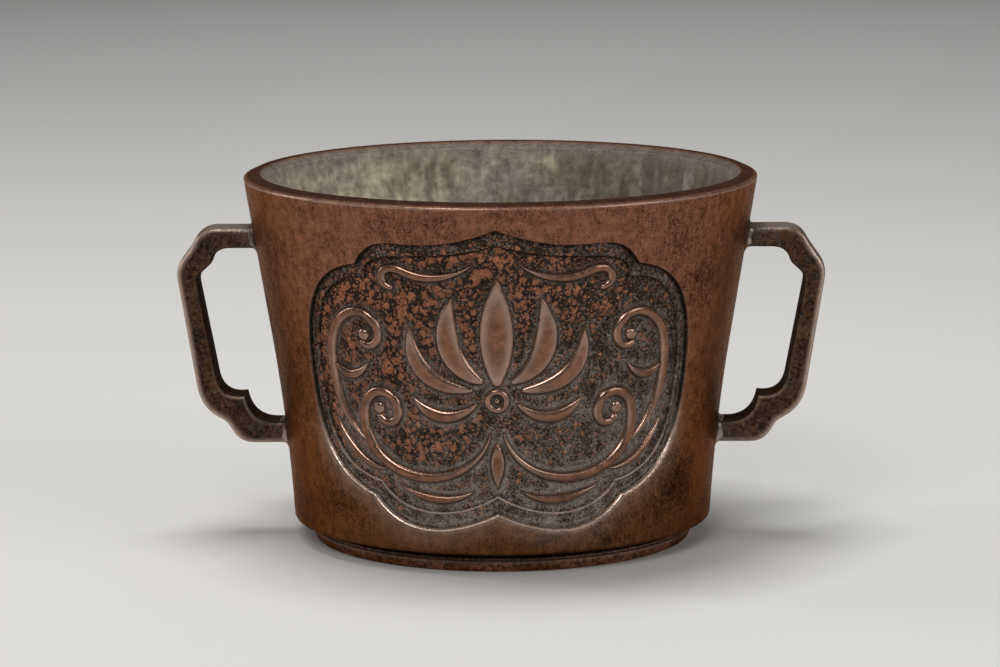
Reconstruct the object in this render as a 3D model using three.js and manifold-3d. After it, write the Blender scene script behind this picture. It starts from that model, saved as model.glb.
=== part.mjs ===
// A two handled bronze censer: a tapered wall that steepens towards its foot, with a lobed sunk
// cartouche on its front and back, a floor plate let into the wall's foot, a turned foot ring, and
// two strap handles whose tenons pass through the wall and are peened inside it, each root closed
// by a collar of solder.
// Millimetres, +Z up, the front faces -Y, and the origin is on the table under the vessel's axis.

import * as THREE from 'three';
import { mergeVertices } from 'three/addons/utils/BufferGeometryUtils.js';
import Module from 'manifold-3d';

const wasm = await Module();
wasm.setup();

// Vessel
const vesselHeight = 90.5;
const rimRadius = 63;
const wallTaper = 0.165;
const wallFootRadius = 51.5;
const wallFootRounding = 1.0;
const steepeningTop = 50;
const wallThickness = 5.6;
const rimEdgeDrop = 1.1;
const rimEdgeRounding = 0.3;
const rimCrownWidth = 1.4;
const rimOuterSlope = 2.4;
const rimInnerChamfer = 1.6;
const seatClearance = 0.3;

// Foot ring and floor plate
const footBandHeight = 4.7;
const footTopRadius = 46.9;
const footBaseRadius = 46.3;
const footBoreRadius = 42;
const footRounding = 0.5;
const rebateLip = 5.9;
const registerHeight = 1.4;
const floorFlange = 2.1;
const floorThickness = 3.7;
const floorRounding = 0.6;

// Cartouche, sunk into the wall on the front and again on the back
const cartoucheTopMargin = 5.1;
const cartoucheFootMargin = 6.1;
const cartoucheHalfAngle = THREE.MathUtils.degToRad(53.4);
const lipRounding = 0.5;
const grooveDepth = 1.3;
const bandDepth = 1.05;
const panelDepth = 1.6;
const reliefHeight = 1.45;
const reliefRoot = 0.4;

// Handles
const handleReach = 16.7;
const upperBarDrop = 12.6;
const lowerBarRise = 18.2;
const upperBarThickness = 5.0;
const lowerBarThickness = 5.3;
const handleDepth = 10.6;
const handleEdge = 0.6;
const tenonHeight = 2.8;
const tenonWidth = 6.0;
const tenonHeadOverhang = 0.9;
const tenonHeadThickness = 0.9;
const solderWidth = 1.6;
const solderRise = 1.3;
const solderTopWidth = 0.6;

// Levels and slopes that follow from the sizes
const wallFoot = footBandHeight + seatClearance;
const rimEdge = vesselHeight - rimEdgeDrop;
const coneRadius = (z) => rimRadius - (rimEdge - z) * wallTaper;
const footSwell = wallFootRadius - coneRadius(wallFoot);
const boreRadius = (z) => coneRadius(z) - wallThickness;
const rebateRadius = wallFootRadius - rebateLip;
const registerTop = footBandHeight + registerHeight;
const floorUnderside = registerTop + seatClearance;
const shoulderLevel = floorUnderside + floorFlange + seatClearance;
const floorLevel = floorUnderside + floorThickness;
const innerRimLevel = vesselHeight - rimInnerChamfer;

// The bore is a plain cone. The outside leaves its cone below the steepening and curves out to the
// foot's radius.
function wallRadius(z) {
  const share = Math.max(steepeningTop - z, 0) / (steepeningTop - wallFoot);
  return coneRadius(z) + footSwell * share ** 2;
}

const curvedLevels = [1, 2, 3].map((third) => wallFoot + ((steepeningTop - wallFoot) * third) / 3);

const turnedSides = 72;
const footSides = 48;
const facing = new THREE.Matrix4().makeRotationX(Math.PI / 2);

// Closed meshes become solids once their shared points are merged, and turn the right way out.
function solidOf(geometry) {
  geometry.deleteAttribute('normal');
  geometry.deleteAttribute('uv');
  const merged = mergeVertices(geometry, 1e-4);
  const points = merged.attributes.position;
  const faces = Array.from(merged.index.array);
  const [a, b, c] = [new THREE.Vector3(), new THREE.Vector3(), new THREE.Vector3()];
  let volume = 0;
  const kept = [];
  for (let i = 0; i < faces.length; i += 3) {
    const [p, q, r] = faces.slice(i, i + 3);
    if (p === q || q === r || r === p) continue;
    kept.push(p, q, r);
    a.fromBufferAttribute(points, p);
    b.fromBufferAttribute(points, q);
    c.fromBufferAttribute(points, r);
    volume += a.dot(b.cross(c));
  }
  if (volume < 0) kept.reverse();
  const vertProperties = new Float32Array(points.array);
  const triVerts = new Uint32Array(kept);
  return new wasm.Manifold(new wasm.Mesh({ numProp: 3, vertProperties, triVerts }));
}

function geometryOf(solid) {
  const mesh = solid.getMesh();
  const geometry = new THREE.BufferGeometry();
  geometry.setAttribute('position', new THREE.BufferAttribute(new Float32Array(mesh.vertProperties), 3));
  geometry.setIndex(new THREE.BufferAttribute(new Uint32Array(mesh.triVerts), 1));
  geometry.computeVertexNormals();
  return geometry;
}

// A profile of [radius, level] points turned about the vessel's axis.
function turned(profile, sides) {
  const points = profile.map(([radius, level]) => new THREE.Vector2(radius, level));
  return solidOf(new THREE.LatheGeometry(points, sides).applyMatrix4(facing));
}

function block(low, high) {
  const size = high.map((value, axis) => value - low[axis]);
  const middle = high.map((value, axis) => (value + low[axis]) / 2);
  return solidOf(new THREE.BoxGeometry(...size).translate(...middle));
}

// Rings of equally many points, joined in order, with a point closing each end.
function skinned(rings, firstPoint, lastPoint) {
  const count = rings[0].length;
  const points = [...rings.flat(), firstPoint, lastPoint];
  const [first, last] = [points.length - 2, points.length - 1];
  const faces = [];
  for (let k = 0; k < count; k += 1) {
    const next = (k + 1) % count;
    for (let ring = 0; ring + 1 < rings.length; ring += 1) {
      const [lower, upper] = [ring * count, (ring + 1) * count];
      faces.push(lower + k, lower + next, upper + next, lower + k, upper + next, upper + k);
    }
    faces.push(first, next, k);
    const end = (rings.length - 1) * count;
    faces.push(last, end + k, end + next);
  }
  const geometry = new THREE.BufferGeometry();
  geometry.setAttribute('position', new THREE.Float32BufferAttribute(points.flat(), 3));
  geometry.setIndex(faces);
  return solidOf(geometry);
}

// The vessel's wall

function wallBlank() {
  const slope = rimRadius - rimOuterSlope;
  const cornerPull = 0.3 * wallFootRounding;
  return turned([
    [rebateRadius, wallFoot],
    [wallFootRadius - wallFootRounding, wallFoot],
    [wallFootRadius - cornerPull, wallFoot + cornerPull],
    [wallRadius(wallFoot + wallFootRounding), wallFoot + wallFootRounding],
    ...curvedLevels.map((level) => [wallRadius(level), level]),
    [rimRadius, rimEdge],
    [rimRadius - rimEdgeRounding, rimEdge + rimEdgeRounding],
    [slope, vesselHeight],
    [slope - rimCrownWidth, vesselHeight],
    [boreRadius(innerRimLevel), innerRimLevel],
    [boreRadius(shoulderLevel), shoulderLevel],
    [rebateRadius, shoulderLevel],
    [rebateRadius, wallFoot],
  ], turnedSides);
}

// The cartouche is drawn flat, in millimetres from its own middle, across and up, and then laid
// round the wall between its two margins.
const drawing = { halfWidth: 52.2, halfHeight: 37.15 };
const cartoucheTop = rimEdge - cartoucheTopMargin;
const cartoucheFoot = wallFoot + cartoucheFootMargin;
const cartoucheMiddle = (cartoucheTop + cartoucheFoot) / 2;
const drawnUp = (cartoucheTop - cartoucheFoot) / (2 * drawing.halfHeight);
const drawnRound = cartoucheHalfAngle / drawing.halfWidth;

function onWall([across, up], height) {
  const z = cartoucheMiddle + up * drawnUp;
  const angle = across * drawnRound;
  const radius = wallRadius(z) + height;
  return [radius * Math.sin(angle), -radius * Math.cos(angle), z];
}

// Cubic lobes of each outline's right half, from its top cusp down to its bottom cusp.
const edgeLobes = [
  [[0, 37.1], [20.6, 28.2], [25.8, 38.9], [33, 27.6]],
  [[33, 27.6], [47.2, 25.2], [52.2, 12.3], [52.2, -2.6]],
  [[52.2, -2.6], [52.1, -7.3], [53.5, -24], [33.5, -29.8]],
  [[33.5, -29.8], [28.2, -35.9], [18.5, -41.1], [0, -33]],
];
const panelLobes = [
  [[0, 33.3], [15.8, 27.4], [31.8, 33.5], [31, 24.3]],
  [[31, 24.3], [49, 25], [49.3, 2], [49.3, -2]],
  [[49.3, -2], [49.1, -12.3], [47.9, -23.4], [31.5, -26.2]],
  [[31.5, -26.2], [27.8, -32.4], [14, -36.6], [0, -28.6]],
];

function cubicPoint([a, b, c, d], t) {
  const s = 1 - t;
  const weights = [s * s * s, 3 * s * s * t, 3 * s * t * t, t * t * t];
  return [0, 1].map((axis) => [a, b, c, d].reduce((sum, point, i) => sum + weights[i] * point[axis], 0));
}

const lobeSteps = 7;

function outline(lobes) {
  const shares = Array.from({ length: lobeSteps }, (_, i) => i / lobeSteps);
  const right = lobes.flatMap((lobe) => shares.map((share) => cubicPoint(lobe, share)));
  const bottom = lobes[lobes.length - 1][3];
  const left = right.slice(1).reverse().map(([across, up]) => [-across, up]);
  return [...right, bottom, ...left];
}

const mix = (from, to, share) => from.map((value, axis) => value + (to[axis] - value) * share);

// Places across the border, as shares of the way in from the edge outline to the panel outline.
const lipStart = -0.12;
const lipEnd = 0.03;
const grooveBottom = 0.14;
const panelStart = 1.05;
const bandEnd = 1.12;

// Cuts the lip, the groove and the shallow band as one tool, and the sunk panel as another whose
// floor is the wall's own outside, moved in.
function cartoucheCutter() {
  const edge = outline(edgeLobes);
  const panel = outline(panelLobes);
  const centre = [0, 1.5];
  const clearOutside = 0.6 * wallFootRadius;
  const tip = 0.75 * clearOutside;
  const skim = 0.1;
  const ring = (share, height) => edge.map((point, i) => onWall(mix(point, panel[i], share), height));
  const border = skinned([
    ring(lipStart, clearOutside),
    ring(lipStart, skim),
    ring(lipEnd, -lipRounding),
    ring(grooveBottom, -grooveDepth),
    ring(bandEnd, -bandDepth),
  ], onWall(centre, clearOutside), onWall(centre, tip));
  const sunk = skinned(
    [ring(panelStart, clearOutside), ring(panelStart, -wallThickness)],
    onWall(centre, clearOutside),
    onWall(centre, -wallThickness),
  );
  return border.add(sunk.subtract(wallEnvelope(-panelDepth)));
}

// Relief of a lotus between scrolls, on the same drawing. A stroke follows cubic spans, is widest at
// its peak (a share of its length), and narrows to a share of that width at its start and its end.
const strokes = [
  {
    spans: [[0, -0.1], [0, 6.4], [0, 12.4], [0, 24.9]],
    width: 8, peak: 0.42, start: 0.35, end: 0, steps: 6,
  },
  {
    spans: [[4.2, -0.1], [11.5, 3.4], [13.5, 10.4], [10.2, 20.4]],
    width: 5.6, peak: 0.45, start: 0.35, end: 0, steps: 6, paired: true,
  },
  {
    spans: [[6.5, -2.4], [16.5, -1.8], [21.5, 2.9], [20.6, 12.9]],
    width: 4.6, peak: 0.5, start: 0.3, end: 0, steps: 6, paired: true,
  },
  {
    spans: [[5.2, -6], [10, -10.2], [16.5, -10.4], [20.6, -4.8]],
    width: 3.4, peak: 0.6, start: 0.25, end: 0.15, steps: 5, paired: true,
  },
  {
    spans: [
      [1.6, -13.1], [3.5, -20.6], [11, -25], [20, -24.4], [31, -23.6], [37.5, -15.6], [35, -8.1],
      [33.2, -2.6], [26, -2.4], [25.4, -8], [25.1, -11.2], [28.2, -12.7], [30.2, -10.4],
    ],
    width: 2.9, peak: 0.45, start: 0.15, end: 0.75, steps: 18, paired: true,
  },
  {
    spans: [
      [33.4, -17.4], [41.5, -14.1], [46.2, -3.1], [43.6, 6.9], [41.6, 14.9],
      [33, 18.6], [29.6, 12.8], [27.8, 9.6], [30.6, 6], [33.4, 7.8],
    ],
    width: 2.6, peak: 0.45, start: 0.1, end: 0.75, steps: 15, paired: true,
  },
  {
    spans: [[42.8, 1.9], [39.6, -1.6], [35.6, -0.8], [32.6, 3]],
    width: 2.6, peak: 0.4, start: 0.1, end: 0, steps: 5, paired: true,
  },
  {
    spans: [[5, 28.6], [10.5, 24.6], [16.4, 24.2], [21.4, 26.6], [26.2, 28.8], [28.6, 23.6], [24.6, 22.4]],
    width: 2.4, peak: 0.55, start: 0, end: 0.7, steps: 9, paired: true,
  },
  {
    spans: [[0, -16.1], [0, -19.6], [0, -22.6], [0, -26.8]],
    width: 3.8, peak: 0.4, start: 0.3, end: 0, steps: 5,
  },
  {
    spans: [[6, -27.4], [11.5, -31], [19, -30.4], [26.4, -26.6]],
    width: 2.4, peak: 0.5, start: 0, end: 0, steps: 5, paired: true,
  },
  {
    spans: [[29, -23], [34.4, -23.8], [40.6, -20.2], [44.6, -12.6]],
    width: 2.2, peak: 0.5, start: 0, end: 0, steps: 5, paired: true,
  },
];
const buds = [
  { at: [30.6, -8], radius: 1.6 },
  { at: [33, 10], radius: 1.5 },
];
const seedPod = { at: [0, -5], radius: 3.1, wallWidth: 1.6, wallSlope: 0.3 };

// Shares of the relief's height, of a stroke's width, and of a boss's radius. A narrow stroke is as
// low as its share of its own width.
const strokeCrown = 0.6;
const narrowStrokeHeight = 0.6;
const budShoulder = { radius: 0.75, height: 0.7 };
const budTop = { radius: 0.3, height: 0.9 };
const podWallHeight = 0.8;
const podFloorHeight = 0.1;
const podSeed = { foot: 0.5, top: 0.3, height: 0.6 };

function strokeWidth({ width, peak, start, end }, t) {
  const narrowest = 0.3;
  const fullness = 0.8;
  const risen = Math.sin((Math.PI / 2) * Math.min(t / peak, 1)) ** fullness;
  const left = Math.cos((Math.PI / 2) * Math.max((t - peak) / (1 - peak), 0)) ** fullness;
  const rising = start + (1 - start) * risen;
  const falling = end + (1 - end) * left;
  return Math.max(width * Math.min(rising, falling), narrowest);
}

function strokeSolid(stroke, side) {
  const count = (stroke.spans.length - 1) / 3;
  const centre = (t) => {
    const span = Math.min(Math.floor(t * count), count - 1);
    const [across, up] = cubicPoint(stroke.spans.slice(3 * span, 3 * span + 4), t * count - span);
    return [side * across, up];
  };
  const height = Math.min(reliefHeight, narrowStrokeHeight * stroke.width) - panelDepth;
  const root = -panelDepth - reliefRoot;
  const nudge = 0.002;
  const rings = Array.from({ length: stroke.steps + 1 }, (_, i) => {
    const t = i / stroke.steps;
    const [before, after] = [centre(Math.max(t - nudge, 0)), centre(Math.min(t + nudge, 1))];
    const along = new THREE.Vector2(after[0] - before[0], after[1] - before[1]).normalize();
    const half = strokeWidth(stroke, t) / 2;
    const [across, up] = centre(t);
    const beside = (share) => [across - share * half * along.y, up + share * half * along.x];
    return [
      onWall(beside(-1), root), onWall(beside(-strokeCrown), height),
      onWall(beside(strokeCrown), height), onWall(beside(1), root),
    ];
  });
  const mean = (ring, axis) => ring.reduce((sum, point) => sum + point[axis] / ring.length, 0);
  const middle = (ring) => [0, 1, 2].map((axis) => mean(ring, axis));
  return skinned(rings, middle(rings[0]), middle(rings[rings.length - 1]));
}

// A round boss from rings of [radius, height above the panel] about one place on the drawing.
function bossSolid([across, up], profile, sides) {
  const height = (level) => level - panelDepth;
  const rings = profile.map(([radius, level]) => Array.from({ length: sides }, (_, i) => {
    const angle = (2 * Math.PI * i) / sides;
    return onWall([across + radius * Math.cos(angle), up + radius * Math.sin(angle)], height(level));
  }));
  const top = profile[profile.length - 1][1];
  return skinned(rings, onWall([across, up], height(-reliefRoot)), onWall([across, up], height(top)));
}

function reliefSolids() {
  const solids = [];
  for (const stroke of strokes) {
    for (const side of stroke.paired ? [1, -1] : [1]) solids.push(strokeSolid(stroke, side));
  }
  for (const { at: [across, up], radius } of buds) {
    const profile = [
      [radius, -reliefRoot],
      [budShoulder.radius * radius, budShoulder.height * reliefHeight],
      [budTop.radius * radius, budTop.height * reliefHeight],
    ];
    for (const side of [1, -1]) solids.push(bossSolid([side * across, up], profile, 8));
  }
  const { at, radius, wallWidth, wallSlope } = seedPod;
  const hollow = radius - wallWidth;
  const podProfile = [
    [radius, -reliefRoot],
    [radius - wallSlope, podWallHeight * reliefHeight],
    [hollow + wallSlope, podWallHeight * reliefHeight],
    [hollow, podFloorHeight * reliefHeight],
    [podSeed.foot * hollow, podFloorHeight * reliefHeight],
    [podSeed.top * hollow, podSeed.height * reliefHeight],
  ];
  solids.push(bossSolid(at, podProfile, 14));
  return solids;
}

// Handles

const gripRadius = rimRadius + handleReach;
const upperBarTop = rimEdge - upperBarDrop;
const lowerBarFoot = wallFoot + lowerBarRise;
const bars = [
  { name: 'upper', low: upperBarTop - upperBarThickness, high: upperBarTop },
  { name: 'lower', low: lowerBarFoot, high: lowerBarFoot + lowerBarThickness },
];
const barMiddle = (bar) => (bar.low + bar.high) / 2;

// The right handle's side view. Each corner is placed in from the grip's outer line, and down from
// the upper bar's top or up from the lower bar's underside.
function handleOutline() {
  const intoWall = wallThickness / 2;
  const [top, foot] = [upperBarTop, lowerBarFoot];
  const [topGap, footGap] = [top - upperBarThickness, foot + lowerBarThickness];
  const x = (inward) => gripRadius - inward;
  const shape = new THREE.Shape();
  shape.moveTo(wallRadius(top) - intoWall, top);
  shape.lineTo(x(9.9), top);
  shape.quadraticCurveTo(x(5.7), top, x(4.3), top - 3.5);
  shape.lineTo(x(3.1), top - 5.3);
  shape.lineTo(x(1), top - 8.2);
  shape.quadraticCurveTo(x(-0.2), top - 10, x(0.1), top - 12.6);
  shape.lineTo(x(4.4), foot + 14.5);
  shape.quadraticCurveTo(x(5.3), foot + 8.9, x(9.3), foot + 6.6);
  shape.lineTo(x(11.8), foot + 5.2);
  shape.lineTo(x(13.2), foot + 3);
  shape.quadraticCurveTo(x(14.8), foot, x(18.3), foot);
  shape.lineTo(wallRadius(foot) - intoWall, foot);
  shape.lineTo(wallRadius(footGap) - intoWall, footGap);
  shape.lineTo(x(23), footGap);
  shape.quadraticCurveTo(x(17.6), footGap + 0.6, x(16.6), footGap + 6.6);
  shape.bezierCurveTo(x(12.8), footGap + 6, x(10.1), footGap + 7.3, x(9.5), footGap + 12);
  shape.lineTo(x(5.3), topGap - 9);
  shape.quadraticCurveTo(x(5.1), topGap - 6.9, x(6.8), topGap - 5.5);
  shape.lineTo(x(8.6), topGap - 3.9);
  shape.quadraticCurveTo(x(9.4), topGap, x(13.2), topGap);
  shape.lineTo(wallRadius(topGap) - intoWall, topGap);
  shape.closePath();
  return shape;
}

// The wall's whole outside and its bore, each as a solid, grown or shrunk by a clearance.
function wallEnvelope(clearance) {
  const levels = [wallFoot, ...curvedLevels, vesselHeight];
  return turned([
    [0, wallFoot],
    ...levels.map((level) => [wallRadius(level) + clearance, level]),
    [0, vesselHeight],
  ], turnedSides);
}

function boreCore(clearance) {
  return turned([
    [0, floorLevel], [boreRadius(floorLevel) - clearance, floorLevel],
    [boreRadius(innerRimLevel) - clearance, innerRimLevel], [0, innerRimLevel],
  ], turnedSides);
}

function strap() {
  const geometry = new THREE.ExtrudeGeometry(handleOutline(), {
    depth: handleDepth - 2 * handleEdge,
    curveSegments: 5,
    bevelSegments: 1,
    bevelThickness: handleEdge,
    bevelSize: handleEdge,
    bevelOffset: -handleEdge,
  });
  geometry.translate(0, 0, -handleDepth / 2 + handleEdge);
  return solidOf(geometry.applyMatrix4(facing));
}

function tenonBlock(bar, spare) {
  const [halfHeight, halfWidth] = [tenonHeight / 2 + spare, tenonWidth / 2 + spare];
  const middle = barMiddle(bar);
  const inside = boreRadius(middle) - seatClearance - tenonHeadThickness / 2;
  const outside = wallRadius(middle) + solderRise + handleEdge;
  return block([inside, -halfWidth, middle - halfHeight], [outside, halfWidth, middle + halfHeight]);
}

function tenonHead(bar) {
  const middle = barMiddle(bar);
  const halfHeight = tenonHeight / 2 + tenonHeadOverhang;
  const halfWidth = tenonWidth / 2 + tenonHeadOverhang;
  const inside = boreRadius(middle) - seatClearance - tenonHeadThickness;
  const outside = wallRadius(middle);
  const head = block([inside, -halfWidth, middle - halfHeight], [outside, halfWidth, middle + halfHeight]);
  return head.intersect(boreCore(seatClearance));
}

function handleSolid() {
  let handle = strap().subtract(wallEnvelope(seatClearance));
  for (const bar of bars) handle = handle.add(tenonBlock(bar, 0)).add(tenonHead(bar));
  return handle;
}

// A collar of solder round a handle's root, wide at the wall and narrow where it ends on the strap.
function solderSolid(bar) {
  const corners = (margin, out) => [[1, 1], [-1, 1], [-1, -1], [1, -1]].map(([sideways, upward]) => {
    const z = (upward > 0 ? bar.high : bar.low) + upward * margin;
    return [wallRadius(z) + out, sideways * (handleDepth / 2 + margin), z];
  });
  const rings = [
    corners(solderWidth, -solderWidth), corners(solderWidth, 0), corners(solderTopWidth, solderRise),
  ];
  const middle = (out) => [wallRadius(barMiddle(bar)) + out, 0, barMiddle(bar)];
  const collar = skinned(rings, middle(-solderWidth), middle(solderRise));
  const [halfDepth, spare] = [handleDepth / 2 + seatClearance, seatClearance];
  const passage = block(
    [wallRadius(bar.low) - handleDepth, -halfDepth, bar.low - spare],
    [gripRadius, halfDepth, bar.high + spare],
  );
  return collar.subtract(wallEnvelope(seatClearance)).subtract(passage);
}

function wallSolid() {
  const halfTurn = [0, 0, 180];
  const cutter = cartoucheCutter();
  let wall = wallBlank().subtract(cutter).subtract(cutter.rotate(halfTurn));
  for (const solid of reliefSolids()) wall = wall.add(solid).add(solid.rotate(halfTurn));
  for (const bar of bars) {
    const mortise = tenonBlock(bar, seatClearance);
    wall = wall.subtract(mortise).subtract(mortise.rotate(halfTurn));
  }
  return wall;
}

function footRingSolid() {
  const registerRadius = rebateRadius - seatClearance;
  return turned([
    [footBoreRadius, 0],
    [footBaseRadius - footRounding, 0],
    [footBaseRadius, footRounding],
    [footTopRadius, footBandHeight - footRounding],
    [footTopRadius - footRounding, footBandHeight],
    [registerRadius, footBandHeight],
    [registerRadius, registerTop],
    [footBoreRadius, registerTop],
    [footBoreRadius, 0],
  ], footSides);
}

function floorPlateSolid() {
  const flangeRadius = rebateRadius - seatClearance;
  const plugRadius = boreRadius(shoulderLevel) - seatClearance;
  return turned([
    [0, floorUnderside],
    [flangeRadius, floorUnderside],
    [flangeRadius, floorUnderside + floorFlange],
    [plugRadius, floorUnderside + floorFlange],
    [plugRadius, floorLevel - floorRounding],
    [plugRadius - floorRounding, floorLevel],
    [0, floorLevel],
  ], footSides);
}

const bronze = (color, roughness) => new THREE.MeshStandardMaterial({ color, roughness, metalness: 0.7 });
const wallBronze = bronze(0x75492f, 0.45);
const footBronze = bronze(0x5a4030, 0.55);
const floorBronze = bronze(0x7d7460, 0.8);
const handleBronze = bronze(0x4d3526, 0.5);
const solderGrey = new THREE.MeshStandardMaterial({ color: 0x7d756a, roughness: 0.6, metalness: 0.5 });

const censer = new THREE.Group();

function place(name, solid, material, turn = 0) {
  const mesh = new THREE.Mesh(geometryOf(solid), material);
  mesh.name = name;
  mesh.rotation.z = turn;
  censer.add(mesh);
}

place('vessel_wall', wallSolid(), wallBronze);
place('floor_plate', floorPlateSolid(), floorBronze);
place('foot_ring', footRingSolid(), footBronze);
for (const [side, turn] of [['right', 0], ['left', Math.PI]]) {
  place(`${side}_handle`, handleSolid(), handleBronze, turn);
  for (const bar of bars) place(`${side}_${bar.name}_solder`, solderSolid(bar), solderGrey, turn);
}

export default censer;
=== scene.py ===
"""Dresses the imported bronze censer.

The cast wall with its sunk cartouches, the raised lotus scrolls, the strap handles, their solder
collars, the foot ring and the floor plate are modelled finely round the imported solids, and each has a
procedural patina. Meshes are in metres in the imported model's frame: +Z is up, the front cartouche
faces -Y, and the origin is on the table under the vessel's axis. Drawings and profiles are worked out
in millimetres and scaled when a mesh is made.
"""

import math

import bmesh
import bpy
import numpy as np
from bpy.props import FloatProperty, FloatVectorProperty, PointerProperty
from mathutils import Matrix, Vector


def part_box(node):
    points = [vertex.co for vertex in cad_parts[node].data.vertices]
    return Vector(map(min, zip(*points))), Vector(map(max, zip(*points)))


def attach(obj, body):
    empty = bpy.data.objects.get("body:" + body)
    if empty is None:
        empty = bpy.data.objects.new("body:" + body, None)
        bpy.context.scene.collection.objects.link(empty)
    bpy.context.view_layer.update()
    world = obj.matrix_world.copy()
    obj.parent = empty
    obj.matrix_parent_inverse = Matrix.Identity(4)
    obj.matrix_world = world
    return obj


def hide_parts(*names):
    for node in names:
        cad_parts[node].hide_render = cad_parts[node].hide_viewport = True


bl_info = {
    "name": "Two handled bronze censer",
    "version": (1, 0, 0),
    "blender": (4, 5, 0),
    "location": "3D View > Sidebar > Censer",
    "description": "Models the censer's cast surfaces and patina round its packed solids",
    "category": "Object",
}

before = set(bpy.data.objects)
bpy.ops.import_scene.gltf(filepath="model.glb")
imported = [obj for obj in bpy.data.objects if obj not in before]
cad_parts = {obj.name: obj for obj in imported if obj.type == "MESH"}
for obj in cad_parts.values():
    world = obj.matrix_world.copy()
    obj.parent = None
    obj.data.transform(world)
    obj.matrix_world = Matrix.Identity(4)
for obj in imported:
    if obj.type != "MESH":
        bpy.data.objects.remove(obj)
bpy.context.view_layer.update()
wall_low, wall_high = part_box("vessel_wall")
foot_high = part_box("foot_ring")[1]
plate_low, plate_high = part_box("floor_plate")
grip_low, grip_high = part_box("right_handle")

MM = 0.001
BODY = "root"
# In metres: points nearer than the first are merged, and faces thinner than the second are dissolved.
MERGE_DISTANCE, SLIVER = 1e-6, 1e-7


# Settings that a user would change

def length(name, description, default):
    """A length that can be set, in metres."""
    return FloatProperty(name=name, description=description, default=default, min=0.0,
                         unit="LENGTH", subtype="DISTANCE", precision=5)


def tint(name, description, default):
    """A colour that can be set, as linear red, green and blue."""
    return FloatVectorProperty(name=name, description=description, default=default, size=3,
                               min=0.0, max=1.0, subtype="COLOR")


def power(name, description, default):
    """A lamp's power that can be set, in watts."""
    return FloatProperty(name=name, description=description, default=default, min=0.0, unit="POWER")


class VesselSizes(bpy.types.PropertyGroup):
    height: length("Height", "Table to the rim's crown", wall_high.z)
    rim_radius: length("Rim radius", "Outer radius at the rim's edge", wall_high.x)
    foot_level: length("Wall foot level", "Height of the wall's lower edge", wall_low.z)
    foot_radius: length("Wall foot radius", "Outer radius of the wall's lower edge", 0.0515)
    steepening_top: length("Steepening top", "Level below which the outside curves out", 0.05)
    taper: FloatProperty(name="Taper", description="Widening of the wall's cone with height",
                         default=0.165, min=0.0)
    foot_rounding: length("Wall foot rounding", "Rounding of the wall's lower edge", 0.001)
    thickness: length("Wall thickness", "Thickness of the cast wall, level", 0.0056)
    rim_edge_drop: length("Rim edge drop", "Outer rim edge below the crown", 0.0011)
    rim_slope: length("Rim slope", "Width of the rim's outer slope", 0.0024)
    rim_crown: length("Rim crown", "Width of the rim's level crown", 0.0014)
    rim_chamfer: length("Rim chamfer", "Height of the rim's inner chamfer", 0.0016)
    rebate_lip: length("Rebate lip", "Width of the wall's underside outside the floor's rebate", 0.0059)
    rebate_height: length("Rebate height", "Height of the rebate that holds the floor plate", 0.0038)


class FootSizes(bpy.types.PropertyGroup):
    band_height: length("Band height", "Height of the visible foot band", 0.0047)
    top_radius: length("Top radius", "Radius of the foot under the wall", foot_high.x)
    base_radius: length("Base radius", "Radius of the foot on the table", 0.0463)
    bore_radius: length("Bore radius", "Inner radius of the foot ring", 0.042)
    register_radius: length("Register radius", "Radius of the register inside the wall", 0.0453)
    plate_flange: length("Plate flange", "Height of the floor plate's flange", 0.0021)
    plate_plug_radius: length("Plate plug radius", "Radius of the floor plate inside the bowl", 0.0438)


class CartoucheSizes(bpy.types.PropertyGroup):
    top_margin: length("Top margin", "Rim edge down to the cartouche", 0.0051)
    foot_margin: length("Foot margin", "Wall foot up to the cartouche", 0.0061)
    half_angle: FloatProperty(name="Half angle", description="Half of its turn round the wall",
                              default=math.radians(53.4), unit="ROTATION", subtype="ANGLE")
    panel_depth: length("Panel depth", "Depth of the panel under the wall's surface", 0.0016)
    relief_height: length("Relief height", "Height of the relief above the panel", 0.00145)


class HandleSizes(bpy.types.PropertyGroup):
    reach: length("Reach", "Grip's outer line from the vessel's axis", 0.0797)
    upper_top: length("Upper bar top", "Height of the upper bar's top face", 0.0768)
    upper_thickness: length("Upper bar thickness", "Thickness of the upper bar", 0.005)
    lower_foot: length("Lower bar underside", "Height of the lower bar's underside", 0.0232)
    lower_thickness: length("Lower bar thickness", "Thickness of the lower bar", 0.0053)
    depth: length("Depth", "Strap from front to back", grip_high.y - grip_low.y)
    outer_rounding: length("Outer rounding", "Rounding of the strap's outer edges", 0.0011)
    inner_rounding: length("Inner rounding", "Rounding of the strap's inner edges", 0.0006)
    collar_width: length("Collar width", "Solder's width on the wall", 0.0016)
    collar_rise: length("Collar rise", "Solder's rise along the strap", 0.0015)


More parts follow.
